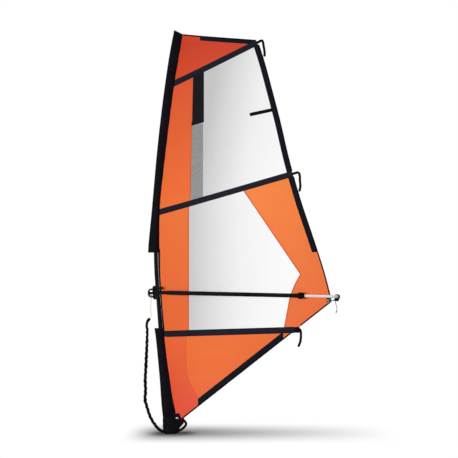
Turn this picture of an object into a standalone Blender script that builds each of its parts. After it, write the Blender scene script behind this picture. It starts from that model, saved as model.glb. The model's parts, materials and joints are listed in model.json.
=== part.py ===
"""A small windsurf rig: a two-piece mast on its base, a sail of cloth and film panels with three
long battens and a short one, a wishbone boom with an adjustable tail, and an uphaul rope.

Metres, +Z up. The origin is the centre of the mast foot's lower face. The mast is forward, at -X,
the clew is aft, at +X, and the port side faces -Y. Run it with
blender --background --python part.py, or from Blender's text editor.
"""

import math

import bmesh
import bpy
import numpy as np
from mathutils import Matrix, Vector

for old in list(bpy.data.objects):
    bpy.data.objects.remove(old, do_unlink=True)

# Driving dimensions, in metres and degrees

GAP = 0.0003  # between pieces that touch or are sewn together

# Mast: straight and raked up to BEND_START, then bending aft
MAST_TIP = 3.430
MAST_JOINT = 1.720
MAST_RAKE = 0.075  # forward lean, metres per metre of height
BEND_START = 1.342
BEND_GAIN = 0.0985
BEND_POWER = 1.6
MAST_FOOT_RADIUS = 0.0188
MAST_TIP_RADIUS = 0.0125
MAST_TAPER_POWER = 1.5
MAST_WALL = 0.0028
SPIGOT_LENGTH = 0.200
SPIGOT_WALL = 0.0020
SPIGOT_EASE = 0.0012
JOINT_GAP = 0.0010

# Sail outline
HEAD_HEIGHT = 3.4414  # of the head edge, carried forward to x = 0
HEAD_SLOPE = -0.0790
FOOT_HEIGHT = 0.0316  # of the foot edge, carried forward to x = 0
FOOT_SLOPE = 0.785
LEECH = ((1.100, 1.4120), (1.400, 1.3340), (1.660, 1.2506), (2.004, 1.1363),
         (2.348, 1.0394), (2.692, 0.9590), (2.950, 0.8920), (3.208, 0.8220), (3.374, 0.7690))
LUFF_GAP = ((0.12, 0.0620), (0.20, 0.0616), (0.30, 0.0586), (0.45, 0.0494), (0.60, 0.0385), (0.75, 0.0310),
            (0.905, 0.0270), (1.00, 0.0242), (1.15, 0.0240), (1.30, 0.0245), (1.45, 0.0278), (1.552, 0.0310),
            (1.70, 0.0298), (1.85, 0.0288), (2.00, 0.0295), (2.10, 0.0335), (2.20, 0.0385), (2.40, 0.0452),
            (2.60, 0.0502), (2.80, 0.0523), (3.00, 0.0535), (3.20, 0.0575), (3.43, 0.0600))
CAMBER = 0.025  # greatest depth of the sail, as a share of its chord
FLAT_BELOW = 0.180  # the tack corner has no depth
SAIL_THICKNESS = 0.0016
PATCH_THICKNESS = 0.0040
SHEET_CELL = 0.150
LEECH_BAND_WIDTH = 0.051
LEECH_BAND_END = 1.556
HEAD_BAND_WIDTH = 0.041
HEAD_BAND_START = 0.270
FOOT_BAND_WIDTH = 0.0555
FOOT_BAND_START = 0.253
FOOT_BAND_END = 0.961
UPPER_SEAM = ((3.080, 0.2055), (2.004, 0.1840))
LOWER_SEAM = 0.171
CLEW_SEAM = ((0.647, None), (1.134, 1.367), (1.087, 1.281), (1.044, 1.170), (0.995, None))

# Battens: height of the centre line carried to x = 0, its slope, the pocket's width and its end
BATTEN_LINES = {
    "top": (2.983, 0.493, 0.048, 0.757),
    "middle": (1.922, 0.2876, 0.050, 1.062),
    "bottom": (0.8553, 0.0314, 0.054, 1.078),
}
POCKET_THICKNESS = 0.0090
POCKET_WALL = 0.0012
POCKET_LUFF_GAP = 0.0012
BATTEN_WIDTH = 0.018
BATTEN_THICKNESS = 0.0056
TENSIONER_LENGTH = {"top": 0.036, "middle": 0.034, "bottom": 0.050}
TENSIONER_THICKNESS = 0.0130
STRAP_WIDTH = 0.012
STRAP_THICKNESS = 0.0032
MINI_BATTEN = ((0.690, 2.7359), (0.889, 2.7785))
MINI_BATTEN_WIDTH = 0.027
MINI_BATTEN_THICKNESS = 0.0050

# Mast sleeves
UPPER_SLEEVE = (1.552, 3.466)
LOWER_SLEEVE = (0.100, 0.905)
UPPER_NOSE = ((1.552, 0.0665), (1.62, 0.0628), (1.70, 0.0562), (1.80, 0.0480), (1.90, 0.0415), (2.00, 0.0367),
              (2.20, 0.0312), (2.40, 0.0288), (2.60, 0.0274), (3.00, 0.0268), (3.30, 0.0260), (3.47, 0.0210))
LOWER_NOSE = ((0.10, 0.0345), (0.16, 0.0365), (0.22, 0.0392), (0.30, 0.0397), (0.45, 0.0388), (0.60, 0.0410),
              (0.70, 0.0430), (0.80, 0.0458), (0.905, 0.0512))
SLEEVE_WALL = 0.0012
SLEEVE_EASE = 0.0008
SLEEVE_SEAM_GAP = 0.0010
SLEEVE_TAIL_THICKNESS = 0.0040
HEAD_CUT_SLOPE = -0.44

# Foot
BASE_RADIUS = 0.027
BASE_HEIGHT = 0.094
BASE_NECK_RADIUS = 0.0215
SOCKET_RADIUS = 0.0115
SOCKET_DEPTH = 0.034
EXTENSION_RADIUS = 0.0152
EXTENSION_WALL = 0.0025
EXTENSION_TOP = 0.360
EXTENSION_SEAT = 0.020
LUG_REACH = 0.050
LUG_HALF_WIDTH = 0.014
SHEAVE_RADIUS = 0.010
SHEAVE_WIDTH = 0.0084
SHEAVE_PLACE = (0.036, 0.046)
AXLE_RADIUS = 0.0025
RUNNING_GAP = 0.0003
BUTTON_RADIUS = 0.0060
BUTTON_PROUD = 0.0040
BUTTON_TRAVEL = 0.0035
BUTTON_HEIGHT = 0.016
ROPE_RADIUS = 0.0018
FAIRING_HALF_WIDTH = 0.0385
FAIRING_WALL = 0.0025

# Eyelets
CLEW_EYELET = (1.378, 1.143)
CLEW_EYELET_BORE = 0.0080
TACK_EYELET = (0.0765, 0.1345)
TACK_EYELET_BORE = 0.0055
EYELET_WALL = 0.0020
EYELET_FLANGE = 0.0035
EYELET_FLANGE_THICKNESS = 0.0020

# Boom
BOOM_HEIGHT = 1.210
BOOM_DROP = 1.3  # degrees below level, towards the tail
ARM_RADIUS = 0.0145
ARM_WALL = 0.0015
ARM_END = 1.1995
TAIL_HALF_GAUGE = 0.058
ARM_PLAN = ((0.010, 0.0560), (0.060, 0.0980), (0.150, 0.1460), (0.300, 0.1900), (0.460, 0.2030),
            (0.600, 0.1830), (0.740, 0.1250), (0.830, 0.0790), (0.880, 0.0625), (0.930, 0.0580))
ARM_STRAIGHT_FROM = 0.930
ARM_RINGS = (0.010, 0.032, 0.060, 0.095, 0.150, 0.220, 0.300, 0.380, 0.460, 0.530, 0.600, 0.670, 0.740,
             0.790, 0.830, 0.865, 0.900, 0.930)
GRIP_START = 0.080
GRIP_END = 1.160
GRIP_THICKNESS = 0.0025
PAD_THICKNESS = 0.0040
PAD_EASE = 0.0008
HEAD_TOP = 0.060
HEAD_BOTTOM = -0.058
HEAD_FRONT = -0.043
HEAD_REAR = 0.014
HEAD_HALF_WIDTH = 0.033
BRIDGE_FRONT = -0.0865
BRIDGE_HALF_WIDTH = 0.015
TRUNNION_RADIUS = 0.0090
TRUNNION_BOSS_RADIUS = 0.0140
TRUNNION_BOSS_END = 0.0400
KNUCKLE_RADIUS = 0.0170
KNUCKLE_WIDTH = 0.0197
TRUNNION_CAP_RADIUS = 0.0122
TRUNNION_CAP_THICKNESS = 0.0035
CLAMP_LOW = 0.024
CLAMP_HIGH = 0.044
CLAMP_STRAP_THICKNESS = 0.0020
LEVER_PIVOT = (-0.024, -0.0415)
LEVER_HUB_RADIUS = 0.0055
LEVER_LENGTH = 0.066
LEVER_THICKNESS = 0.0050
EAR_THICKNESS = 0.0050
PIN_RADIUS = 0.0025

# Boom tail
TAIL_RADIUS = 0.0125
TAIL_WALL = 0.0016
TAIL_START = 0.945
COLLAR_START = 1.1645
COLLAR_END = 1.2560
COLLAR_RADIUS = 0.0235
CLIP_PIVOT = 1.1850
CLIP_LENGTH = 0.058
CLIP_HALF_HEIGHT = 0.0080
CLIP_HUB_RADIUS = 0.0035
CLIP_OFFSET = 0.0205  # from the tail leg's axis to the clip's pivot
CAP_HALF_WIDTH = 0.030
CAP_LUG_HALF_WIDTH = 0.012
OUTHAUL_SHEAVE_RADIUS = 0.0095
OUTHAUL_SHEAVE_PLACE = (1.530, -0.027)

# Uphaul and the free ends of the lines: routes chosen by hand
UPHAUL_RADIUS = 0.0088
UPHAUL_KNOT = 0.0035  # how far a knot swells past the rope
UPHAUL_KNOTS = (0.975, 0.800, 0.620, 0.440, 0.262)
UPHAUL_ROUTE = ((-0.160, 0.0, 0.989), (-0.184, 0.0, 0.950), (-0.181, 0.0, 0.886), (-0.183, 0.0, 0.800),
                (-0.186, 0.0, 0.714), (-0.190, 0.0, 0.628), (-0.194, 0.0, 0.542), (-0.198, 0.0, 0.456),
                (-0.195, 0.0, 0.370), (-0.198, 0.0, 0.284), (-0.186, 0.0, 0.241), (-0.173, 0.0, 0.198),
                (-0.156, 0.0, 0.150), (-0.134, 0.0, 0.108), (-0.104, 0.0, 0.066), (-0.078, 0.0, 0.038),
                (-0.0548, 0.0, 0.0245))
UPHAUL_LINE_RADIUS = 0.0020
OUTHAUL_TAIL_ROUTE = ((1.4318, -0.0080, 1.1347), (1.4325, -0.0082, 1.1240), (1.4390, -0.0090, 1.0980),
                      (1.4440, -0.0095, 1.0740), (1.4415, -0.0095, 1.0500), (1.4355, -0.0090, 1.0340))
STRAP_ROUTES = {
    "top": ((0.8180, 3.3700), (0.8285, 3.3460), (0.8310, 3.3150), (0.8290, 3.2850), (0.8225, 3.2400)),
    "middle": ((1.1190, 2.2340), (1.1270, 2.2100), (1.1280, 2.1750), (1.1320, 2.1250),
               (1.1240, 2.0760)),
    "bottom": ((1.1440, 0.8850), (1.1440, 0.8600), (1.1390, 0.8250), (1.1310, 0.7900),
               (1.1180, 0.7450)),
}
TACK_LOOP_RADIUS = 0.0065
TACK_LOOP_ROUTE = ((0.1252, 0.0, 0.1299), (0.1322, 0.0, 0.1208), (0.1450, 0.0, 0.1060),
                   (0.1500, 0.0, 0.0900), (0.1460, 0.0, 0.0720), (0.1350, 0.0, 0.0560),
                   (0.1190, 0.0, 0.0410), (0.0990, 0.0, 0.0275))

COLOURS = {
    "glass_fibre": ((0.020, 0.019, 0.026), 0.35, 0.0),
    "orange_cloth": ((0.840, 0.160, 0.045), 0.60, 0.0),
    "clear_film": ((0.800, 0.800, 0.800), 0.12, 0.0),
    "black_cloth": ((0.010, 0.009, 0.013), 0.75, 0.0),
    "black_webbing": ((0.008, 0.008, 0.010), 0.80, 0.0),
    "black_plastic": ((0.017, 0.016, 0.021), 0.45, 0.0),
    "black_foam": ((0.013, 0.013, 0.016), 0.85, 0.0),
    "black_rubber": ((0.012, 0.012, 0.013), 0.70, 0.0),
    "alloy": ((0.720, 0.730, 0.740), 0.28, 1.0),
    "stainless_steel": ((0.560, 0.560, 0.550), 0.30, 1.0),
    "batten_composite": ((0.550, 0.560, 0.500), 0.40, 0.0),
    "grey_line": ((0.300, 0.300, 0.300), 0.80, 0.0),
    "pale_line": ((0.620, 0.620, 0.600), 0.80, 0.0),
}


# Collections, materials and modelling helpers

rig = bpy.data.collections.new("windsurf_rig")
cutters = bpy.data.collections.new("cutters")
for collection in (rig, cutters):
    bpy.context.scene.collection.children.link(collection)
materials = {}
for material_name, (colour, roughness, metallic) in COLOURS.items():
    material = bpy.data.materials.new(material_name)
    material.use_nodes = True
    shader = material.node_tree.nodes["Principled BSDF"]
    shader.inputs["Base Color"].default_value = (*colour, 1.0)
    shader.inputs["Roughness"].default_value = roughness
    shader.inputs["Metallic"].default_value = metallic
    materials[material_name] = material


def add(name, data, finish=None, parent=None):
    """Put a new object in the rig's collection, under its parent empty."""
    obj = bpy.data.objects.new(name, data)
    rig.objects.link(obj)
    if finish:
        data.materials.append(materials[finish])
    obj.parent = parent
    return obj


def empty(name, place, turn=0.0, parent=None):
    """A frame for pieces that share an axis, turned about Y by an angle in degrees."""
    frame = bpy.data.objects.new(name, None)
    rig.objects.link(frame)
    frame.location = place
    frame.rotation_euler = (0.0, math.radians(turn), 0.0)
    frame.parent = parent
    return frame


def through(knots):
    """A smooth curve value(t) through (t, value) pairs."""
    pairs = np.array(sorted(knots), float)
    at, value = pairs[:, 0], pairs[:, 1]
    slope = np.gradient(value, at)

    def curve(t):
        i = int(np.clip(np.searchsorted(at, t) - 1, 0, len(at) - 2))
        width = at[i + 1] - at[i]
        s = float(np.clip((t - at[i]) / width, 0.0, 1.0))
        return float((1 + 2 * s) * (1 - s) ** 2 * value[i] + s * (1 - s) ** 2 * width * slope[i]
                     + s * s * (3 - 2 * s) * value[i + 1] + s * s * (s - 1) * width * slope[i + 1])

    return curve


def smooth_path(route, count):
    """Evenly spaced points on one smooth curve through the route's own points."""
    route = np.array(route, float)
    along = np.concatenate([[0.0], np.cumsum(np.linalg.norm(np.diff(route, axis=0), axis=1))])
    curves = [through(list(zip(along, route[:, axis]))) for axis in range(3)]
    return [Vector([curve(t) for curve in curves]) for t in np.linspace(0.0, along[-1], count)]


def tube(name, points, radius, sides=8, finish=None, parent=None, radii=None, caps=True):
    """A curve object with a round bevel along the points."""
    data = bpy.data.curves.new(name, "CURVE")
    data.dimensions = "3D"
    data.bevel_depth = radius
    data.bevel_resolution = (sides - 4) // 2
    data.use_fill_caps = caps
    spline = data.splines.new("POLY")
    spline.points.add(len(points) - 1)
    for index, (knot, point) in enumerate(zip(spline.points, points)):
        knot.co = (*point, 1.0)
        knot.radius = radii[index] / radius if radii else 1.0
    return add(name, data, finish, parent)


def as_mesh(curve_object):
    """The curve object made a mesh, with its caps welded."""
    bpy.context.view_layer.update()
    graph = bpy.context.evaluated_depsgraph_get()
    mesh = bpy.data.meshes.new_from_object(curve_object.evaluated_get(graph))
    shape = bmesh.new()
    shape.from_mesh(mesh)
    bmesh.ops.remove_doubles(shape, verts=shape.verts, dist=0.00001)
    bmesh.ops.recalc_face_normals(shape, faces=shape.faces)
    shape.to_mesh(mesh)
    shape.free()
    name, parent = curve_object.name, curve_object.parent
    place = curve_object.matrix_local.copy()
    bpy.data.objects.remove(curve_object, do_unlink=True)
    solid = bpy.data.objects.new(name, mesh)
    solid.name = name
    rig.objects.link(solid)
    solid.parent = parent
    solid.matrix_local = place
    return solid


def shell(obj, wall, offset=-1.0):
    """Give an open surface its wall thickness."""
    solidify = obj.modifiers.new("wall", "SOLIDIFY")
    solidify.thickness = wall
    solidify.offset = offset
    solidify.use_rim = True
    return obj


def hollow_tube(name, points, radius, wall, sides=10, finish=None, parent=None, radii=None):
    """A tube that is open at both ends."""
    return shell(as_mesh(tube(name, points, radius, sides, finish, parent, radii, caps=False)), wall)


def turned(name, profile, finish=None, parent=None, steps=20, ring=False):
    """A turned solid about local Z. The profile of (radius, height) runs down its outer side."""
    mesh = bpy.data.meshes.new(name)
    edges = [(i, i + 1) for i in range(len(profile) - 1)]
    if ring:
        edges.append((len(profile) - 1, 0))
    mesh.from_pydata([(radius, 0.0, height) for radius, height in profile], edges, [])
    obj = add(name, mesh, finish, parent)
    screw = obj.modifiers.new("turn", "SCREW")
    screw.axis = "Z"
    screw.angle = math.tau
    screw.steps = steps
    screw.render_steps = steps
    screw.use_merge_vertices = True
    screw.merge_threshold = 0.00001
    screw.use_smooth_shade = True
    return obj


def about_y(obj, place):
    """Turn a piece made about local Z so that its axis lies along Y."""
    obj.rotation_euler = (math.radians(90.0), 0.0, 0.0)
    obj.location = place
    return obj


def prism(name, outlines, low, high, finish=None, parent=None):
    """A flat outline, with any holes as further outlines, extruded from low to high along Z."""
    data = bpy.data.curves.new(name, "CURVE")
    data.dimensions = "2D"
    data.fill_mode = "BOTH"
    data.extrude = (high - low) / 2
    for outline in outlines:
        spline = data.splines.new("POLY")
        spline.points.add(len(outline) - 1)
        for knot, (x, y) in zip(spline.points, outline):
            knot.co = (x, y, 0.0, 1.0)
        spline.use_cyclic_u = True
    obj = add(name, data, finish, parent)
    obj.location = (0.0, 0.0, (low + high) / 2)
    return obj


def side_prism(name, outlines, half_width, finish=None, parent=None, middle=0.0):
    """A side-view outline of (x, z) points, extruded across Y."""
    obj = prism(name, outlines, -half_width, half_width, finish, parent)
    obj.rotation_euler = (math.radians(90.0), 0.0, 0.0)
    obj.location = (0.0, middle, 0.0)
    return obj


def block(name, low, high, finish=None, parent=None):
    """A rectangular block between two corners."""
    mesh = bpy.data.meshes.new(name)
    shape = bmesh.new()
    size = [b - a for a, b in zip(low, high)]
    middle = [(a + b) / 2 for a, b in zip(low, high)]
    bmesh.ops.create_cube(shape, size=1.0, matrix=Matrix.Translation(middle) @ Matrix.Diagonal((*size, 1.0)))
    shape.to_mesh(mesh)
    shape.free()
    return add(name, mesh, finish, parent)


def rod(name, radius, low, high, finish=None, parent=None, sides=20):
    """A plain cylinder along local Z."""
    mesh = bpy.data.meshes.new(name)
    shape = bmesh.new()
    bmesh.ops.create_cone(shape, cap_ends=True, segments=sides, radius1=radius, radius2=radius,
                          depth=high - low, matrix=Matrix.Translation((0.0, 0.0, (low + high) / 2)))
    shape.to_mesh(mesh)
    shape.free()
    return add(name, mesh, finish, parent)


def combine(target, tool, operation="DIFFERENCE"):
    """Cut, join or intersect the target with a tool, which is kept as a hidden guide."""
    rig.objects.unlink(tool)
    cutters.objects.link(tool)
    tool.hide_render = True
    tool.display_type = "WIRE"
    boolean = target.modifiers.new(tool.name, "BOOLEAN")
    boolean.operation = operation
    boolean.object = tool
    boolean.solver = "EXACT"
    return target


def arc(centre, radius, start, end, count):
    """Points on an arc, with angles in degrees."""
    angles = np.radians(np.linspace(start, end, count))
    return [(centre[0] + radius * math.cos(a), centre[1] + radius * math.sin(a)) for a in angles]


# Shapes that several pieces share: the mast's curve and the sail's surface

leech = through(LEECH)
luff_gap = through(LUFF_GAP)


def mast_x(z):
    return -MAST_RAKE * z + BEND_GAIN * max(0.0, z - BEND_START) ** BEND_POWER


def mast_radius(z):
    share = max(0.0, z) / MAST_TIP
    return MAST_FOOT_RADIUS - (MAST_FOOT_RADIUS - MAST_TIP_RADIUS) * share ** MAST_TAPER_POWER


def luff(z):
    return mast_x(z) + luff_gap(z)


def foot(x):
    return FOOT_HEIGHT + FOOT_SLOPE * x


def head(x):
    return HEAD_HEIGHT + HEAD_SLOPE * x


def foot_band_edge(x):
    return foot(x) + FOOT_BAND_WIDTH * math.hypot(1.0, FOOT_SLOPE)


def head_band_edge(x):
    return head(x) - HEAD_BAND_WIDTH


def leech_band_edge(z):
    return leech(z) - LEECH_BAND_WIDTH * math.hypot(1.0, (leech(z - 0.01) - leech(z + 0.01)) / 0.02)


def sail_y(x, z):
    """Depth of the sail to leeward of its plane, deepest a third of the way aft."""
    soft = 0.08
    rear = -soft * math.log(math.exp(-leech(z) / soft) + math.exp(-(z - FOOT_HEIGHT) / FOOT_SLOPE / soft))
    chord = max(0.05, rear - luff(z))
    share = min(1.0, max(0.0, (x - luff(z)) / chord))
    rise = min(1.0, max(0.0, (z - FLAT_BELOW) / 0.150))
    return CAMBER * chord * 6.75 * share * (1.0 - share) ** 2 * rise * rise * (3.0 - 2.0 * rise)


def batten_edge(which, side):
    """The pocket's upper (+1) or lower (-1) edge, or its centre line (0), as a height at x."""
    height, slope, width, _ = BATTEN_LINES[which]
    lift = side * (width / 2 + GAP) * math.hypot(1.0, slope)
    return lambda x: height + slope * x + lift


def meet_side(line, side):
    """Where a batten's edge meets the luff or the leech."""
    z = line(0.5)
    for _ in range(40):
        z = line(side(z))
    return side(z), z


def meet_line(first, second):
    """Where two straight edges, each a height at x, cross."""
    a, b = first(1.0) - first(0.0), second(1.0) - second(0.0)
    x = (second(0.0) - first(0.0)) / (a - b)
    return x, first(x)


def side_points(side, low, high):
    """Points up a curved side, without its two ends."""
    count = max(1, round(abs(high - low) / SHEET_CELL))
    return [(side(z), z) for z in np.linspace(low, high, count + 1)[1:-1]]


def inset(outline, distance):
    """The outline drawn in by a distance, so that neighbours keep their gap."""
    points = [Vector(p) for p in outline]
    area = sum(a.x * b.y - b.x * a.y for a, b in zip(points, points[1:] + points[:1]))
    turn = 1.0 if area > 0 else -1.0
    result = []
    for before, point, after in zip(points[-1:] + points[:-1], points, points[1:] + points[:1]):
        n1 = Vector((-(point - before).y, (point - before).x)).normalized() * turn
        n2 = Vector((-(after - point).y, (after - point).x)).normalized() * turn
        bisector = (n1 + n2).normalized()
        result.append(point + bisector * distance / max(0.3, bisector.dot(n1)))
    return [(p.x, p.y) for p in result]


def sheet(name, outline, thickness, finish, hole=None, lift=0.0):
    """A sewn panel: its outline in the side view, laid on the sail's curved surface."""
    shape = bmesh.new()
    ring = [shape.verts.new((x, 0.0, z)) for x, z in inset(outline, GAP / 2)]
    shape.faces.new(ring)
    xs, zs = [x for x, _ in outline], [z for _, z in outline]
    for axis, low, high in ((0, min(xs), max(xs)), (2, min(zs), max(zs))):
        normal = [0.0, 0.0, 0.0]
        normal[axis] = 1.0
        for index in range(math.floor(low / SHEET_CELL) + 1, math.ceil(high / SHEET_CELL)):
            everything = shape.verts[:] + shape.edges[:] + shape.faces[:]
            place = [index * SHEET_CELL * n for n in normal]
            bmesh.ops.bisect_plane(shape, geom=everything, dist=0.002, plane_co=place, plane_no=normal)
    bmesh.ops.triangulate(shape, faces=shape.faces)
    for vert in shape.verts:
        vert.co.y = sail_y(vert.co.x, vert.co.z) + lift
    bmesh.ops.recalc_face_normals(shape, faces=shape.faces)
    mesh = bpy.data.meshes.new(name)
    shape.to_mesh(mesh)
    shape.free()
    obj = shell(add(name, mesh, finish), thickness, offset=0.0)
    if hole:
        (x, z), radius = hole
        combine(obj, about_y(rod(name + "_hole", radius, -0.05, 0.05), (x, sail_y(x, z), z)))
    return obj


def lay_on_sail(obj, flatness, lift=0.0):
    """Flatten a mesh made in the side plane and lay it on the sail's curved surface."""
    for vert in obj.data.vertices:
        vert.co.y = vert.co.y * flatness + sail_y(vert.co.x, vert.co.z) + lift
    return obj


# Mast

def build_mast():
    heights = list(np.linspace(BASE_HEIGHT + GAP, BEND_START, 4)) + [1.53, MAST_JOINT]
    hollow_tube("mast_lower_section", [(mast_x(z), 0.0, z) for z in heights], MAST_FOOT_RADIUS, MAST_WALL,
                12, "glass_fibre", None, [mast_radius(z) for z in heights])
    heights = np.linspace(MAST_JOINT + JOINT_GAP, MAST_TIP, 12)
    upper = hollow_tube("mast_upper_section", [(mast_x(z), 0.0, z) for z in heights], MAST_FOOT_RADIUS,
                        MAST_WALL, 12, "glass_fibre", None, [mast_radius(z) for z in heights])
    bore = mast_radius(MAST_JOINT) - MAST_WALL
    free = list(np.linspace(MAST_JOINT - SPIGOT_LENGTH, MAST_JOINT + JOINT_GAP, 5))
    fixed = list(np.linspace(MAST_JOINT + 0.0035, MAST_JOINT + SPIGOT_LENGTH / 3, 3))
    spigot = hollow_tube("mast_spigot", [(mast_x(z), 0.0, z) for z in free + fixed], bore, SPIGOT_WALL, 12,
                         radii=[bore - SPIGOT_EASE] * len(free) + [bore + MAST_WALL / 2] * len(fixed))
    combine(upper, spigot, "UNION")
    tip_bore = mast_radius(MAST_TIP) - MAST_WALL - 0.0008
    lean = math.degrees(math.atan2(mast_x(MAST_TIP) - mast_x(MAST_TIP - 0.02), 0.02))
    tip = empty("mast_tip", (mast_x(MAST_TIP), 0.0, MAST_TIP), lean)
    profile = ((0.0, 0.020), (0.006, 0.0195), (0.0098, 0.0165), (0.0120, 0.0120), (0.0125, GAP),
               (tip_bore, GAP), (tip_bore, -0.030), (tip_bore - 0.002, -0.034), (0.0, -0.034))
    turned("head_cap", profile, "black_plastic", tip, steps=16)


# Mast sleeves

def sleeve_ring(z, nose, tilt):
    """One teardrop section: a round nose before the mast, a wedge behind it."""
    half = mast_radius(z) + SLEEVE_WALL + SLEEVE_EASE
    rear = luff_gap(z + tilt * (nose + luff_gap(z))) - SLEEVE_SEAM_GAP
    side = [(-nose * math.cos(a), half * math.sin(a)) for a in np.radians([0, 24, 46, 68, 90])]
    for share in (0.22, 0.42, 0.60, 0.76, 0.90):
        side.append((rear * share, half * (1 - share ** 1.8) ** 0.9))
    side.append((rear, SLEEVE_TAIL_THICKNESS / 2))
    ring = side + [(x, -y) for x, y in side[:0:-1]]
    heights = [z + tilt * (x + nose) for x, _ in ring]
    return [(mast_x(height) + x, -y, height) for (x, y), height in zip(ring, heights)]


def build_sleeve(name, span, nose_knots, top_tilt=0.0):
    nose = through(nose_knots)
    low, high = span
    count = max(4, round((high - low) / 0.135))
    shape = bmesh.new()
    rings = []
    for index, z in enumerate(np.linspace(low, high, count)):
        tilt = top_tilt if index == count - 1 else 0.0
        rings.append([shape.verts.new(point) for point in sleeve_ring(z, nose(z), tilt)])
    for lower, upper in zip(rings, rings[1:]):
        for i in range(len(lower)):
            j = (i + 1) % len(lower)
            shape.faces.new((lower[i], lower[j], upper[j], upper[i]))
    bmesh.ops.recalc_face_normals(shape, faces=shape.faces)
    mesh = bpy.data.meshes.new(name)
    shape.to_mesh(mesh)
    shape.free()
    shell(add(name, mesh, "black_cloth"), SLEEVE_WALL)


# Sail panels

def build_panels():
    top_up, top_down = batten_edge("top", 1), batten_edge("top", -1)
    mid_up, mid_down = batten_edge("middle", 1), batten_edge("middle", -1)
    low_up, low_down = batten_edge("bottom", 1), batten_edge("bottom", -1)
    (seam_high_z, seam_high_x), (seam_low_z, seam_low_x) = UPPER_SEAM
    seam_slope = (seam_high_x - seam_low_x) / (seam_high_z - seam_low_z)

    def upper_seam(z):
        return seam_low_x + seam_slope * (z - seam_low_z)

    # Head panel, stepped under the band that starts part way along the head
    start = meet_side(top_up, luff)
    head_corner = (luff(3.43), head(luff(3.43)))
    nose = meet_line(top_up, head_band_edge)
    outline = [start, nose, (HEAD_BAND_START, head_band_edge(HEAD_BAND_START)),
               (HEAD_BAND_START, head(HEAD_BAND_START)), head_corner]
    outline += side_points(luff, head_corner[1], start[1])
    sheet("head_panel", outline, SAIL_THICKNESS, "orange_cloth")

    tip = meet_line(top_up, head)
    outline = [(HEAD_BAND_START, head_band_edge(HEAD_BAND_START)), nose, tip,
               (HEAD_BAND_START, head(HEAD_BAND_START))]
    sheet("head_band", outline, SAIL_THICKNESS, "black_webbing")

    # Between the top and middle battens
    a, b = meet_side(mid_up, luff), meet_side(mid_up, upper_seam)
    c, d = meet_side(top_down, upper_seam), meet_side(top_down, luff)
    outline = [a, b, c, d] + side_points(luff, d[1], a[1])
    sheet("luff_panel_upper", outline, SAIL_THICKNESS, "orange_cloth")

    e, f = meet_side(mid_up, leech_band_edge), meet_side(top_down, leech_band_edge)
    outline = [b, e] + side_points(leech_band_edge, e[1], f[1]) + [f, c]
    sheet("upper_window", outline, SAIL_THICKNESS, "clear_film")

    g, h = meet_side(mid_up, leech), meet_side(top_down, leech)
    outline = [e, g] + side_points(leech, g[1], h[1]) + [h, f] + side_points(leech_band_edge, f[1], e[1])
    sheet("leech_band_upper", outline, SAIL_THICKNESS, "black_webbing")

    i, j = meet_side(mid_down, leech_band_edge), meet_side(mid_down, leech)
    k, m = (leech(LEECH_BAND_END), LEECH_BAND_END), (leech_band_edge(LEECH_BAND_END), LEECH_BAND_END)
    outline = [m, k] + side_points(leech, k[1], j[1]) + [j, i] + side_points(leech_band_edge, i[1], m[1])
    sheet("leech_band_lower", outline, SAIL_THICKNESS, "black_webbing")

    # Between the middle and bottom battens
    a, d = meet_side(low_up, luff), meet_side(mid_down, luff)
    b, c = (LOWER_SEAM, low_up(LOWER_SEAM)), (LOWER_SEAM, mid_down(LOWER_SEAM))
    outline = [a, b, c, d] + side_points(luff, d[1], a[1])
    sheet("luff_panel_lower", outline, SAIL_THICKNESS, "orange_cloth")

    edge = list(CLEW_SEAM)
    edge[0] = (edge[0][0], mid_down(edge[0][0]))
    edge[-1] = (edge[-1][0], low_up(edge[-1][0]))
    sheet("lower_window", [b] + edge[::-1] + [c], SAIL_THICKNESS, "clear_film")

    # Clew panel and the patch in its corner
    patch_x, patch_z = CLEW_EYELET[0] - 0.028, CLEW_EYELET[1] + 0.029
    corner = (meet_side(foot, leech)[0] - 0.004, foot(meet_side(foot, leech)[0] - 0.004))
    patch_low, patch_high = (patch_x, foot(patch_x)), (leech(patch_z), patch_z)
    aft = meet_line(low_up, foot)
    outline = edge + [aft, patch_low, (patch_x, patch_z), patch_high]
    outline += side_points(leech, patch_z, LEECH_BAND_END) + [k, m]
    outline += side_points(leech_band_edge, m[1], i[1]) + [i]
    sheet("clew_panel", outline, SAIL_THICKNESS, "orange_cloth")
    hole = (CLEW_EYELET, CLEW_EYELET_BORE + EYELET_WALL + GAP)
    sheet("clew_patch", [patch_low, corner, patch_high, (patch_x, patch_z)], PATCH_THICKNESS,
          "black_webbing", hole)

    # Foot panel, the band along it and the tack patch
    tack_top = TACK_EYELET[1] + 0.037
    a, d = meet_side(low_down, luff), (luff(tack_top), tack_top)
    aft = meet_line(low_down, foot)
    tack_aft = (tack_top - 0.012 - FOOT_HEIGHT) / FOOT_SLOPE
    band = [(FOOT_BAND_START, foot(FOOT_BAND_START)), (FOOT_BAND_START, foot_band_edge(FOOT_BAND_START)),
            (FOOT_BAND_END, foot_band_edge(FOOT_BAND_END)), (FOOT_BAND_END, foot(FOOT_BAND_END))]
    outline = [a] + side_points(luff, a[1], d[1]) + [d, (tack_aft, foot(tack_aft))] + band + [aft]
    sheet("foot_panel", outline, SAIL_THICKNESS, "orange_cloth")
    sheet("foot_band", band, SAIL_THICKNESS, "black_webbing")
    hole = (TACK_EYELET, TACK_EYELET_BORE + EYELET_WALL + GAP)
    outline = [(TACK_EYELET[0] - 0.0105, tack_top - 0.003), (TACK_EYELET[0] - 0.0105, TACK_EYELET[1] - 0.012),
               (TACK_EYELET[0] + 0.010, TACK_EYELET[1] - 0.014), (TACK_EYELET[0] + 0.040, TACK_EYELET[1] - 0.011),
               (tack_aft - 0.001, foot(tack_aft) - 0.001)]
    sheet("tack_patch", outline, PATCH_THICKNESS, "black_webbing", hole)


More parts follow.
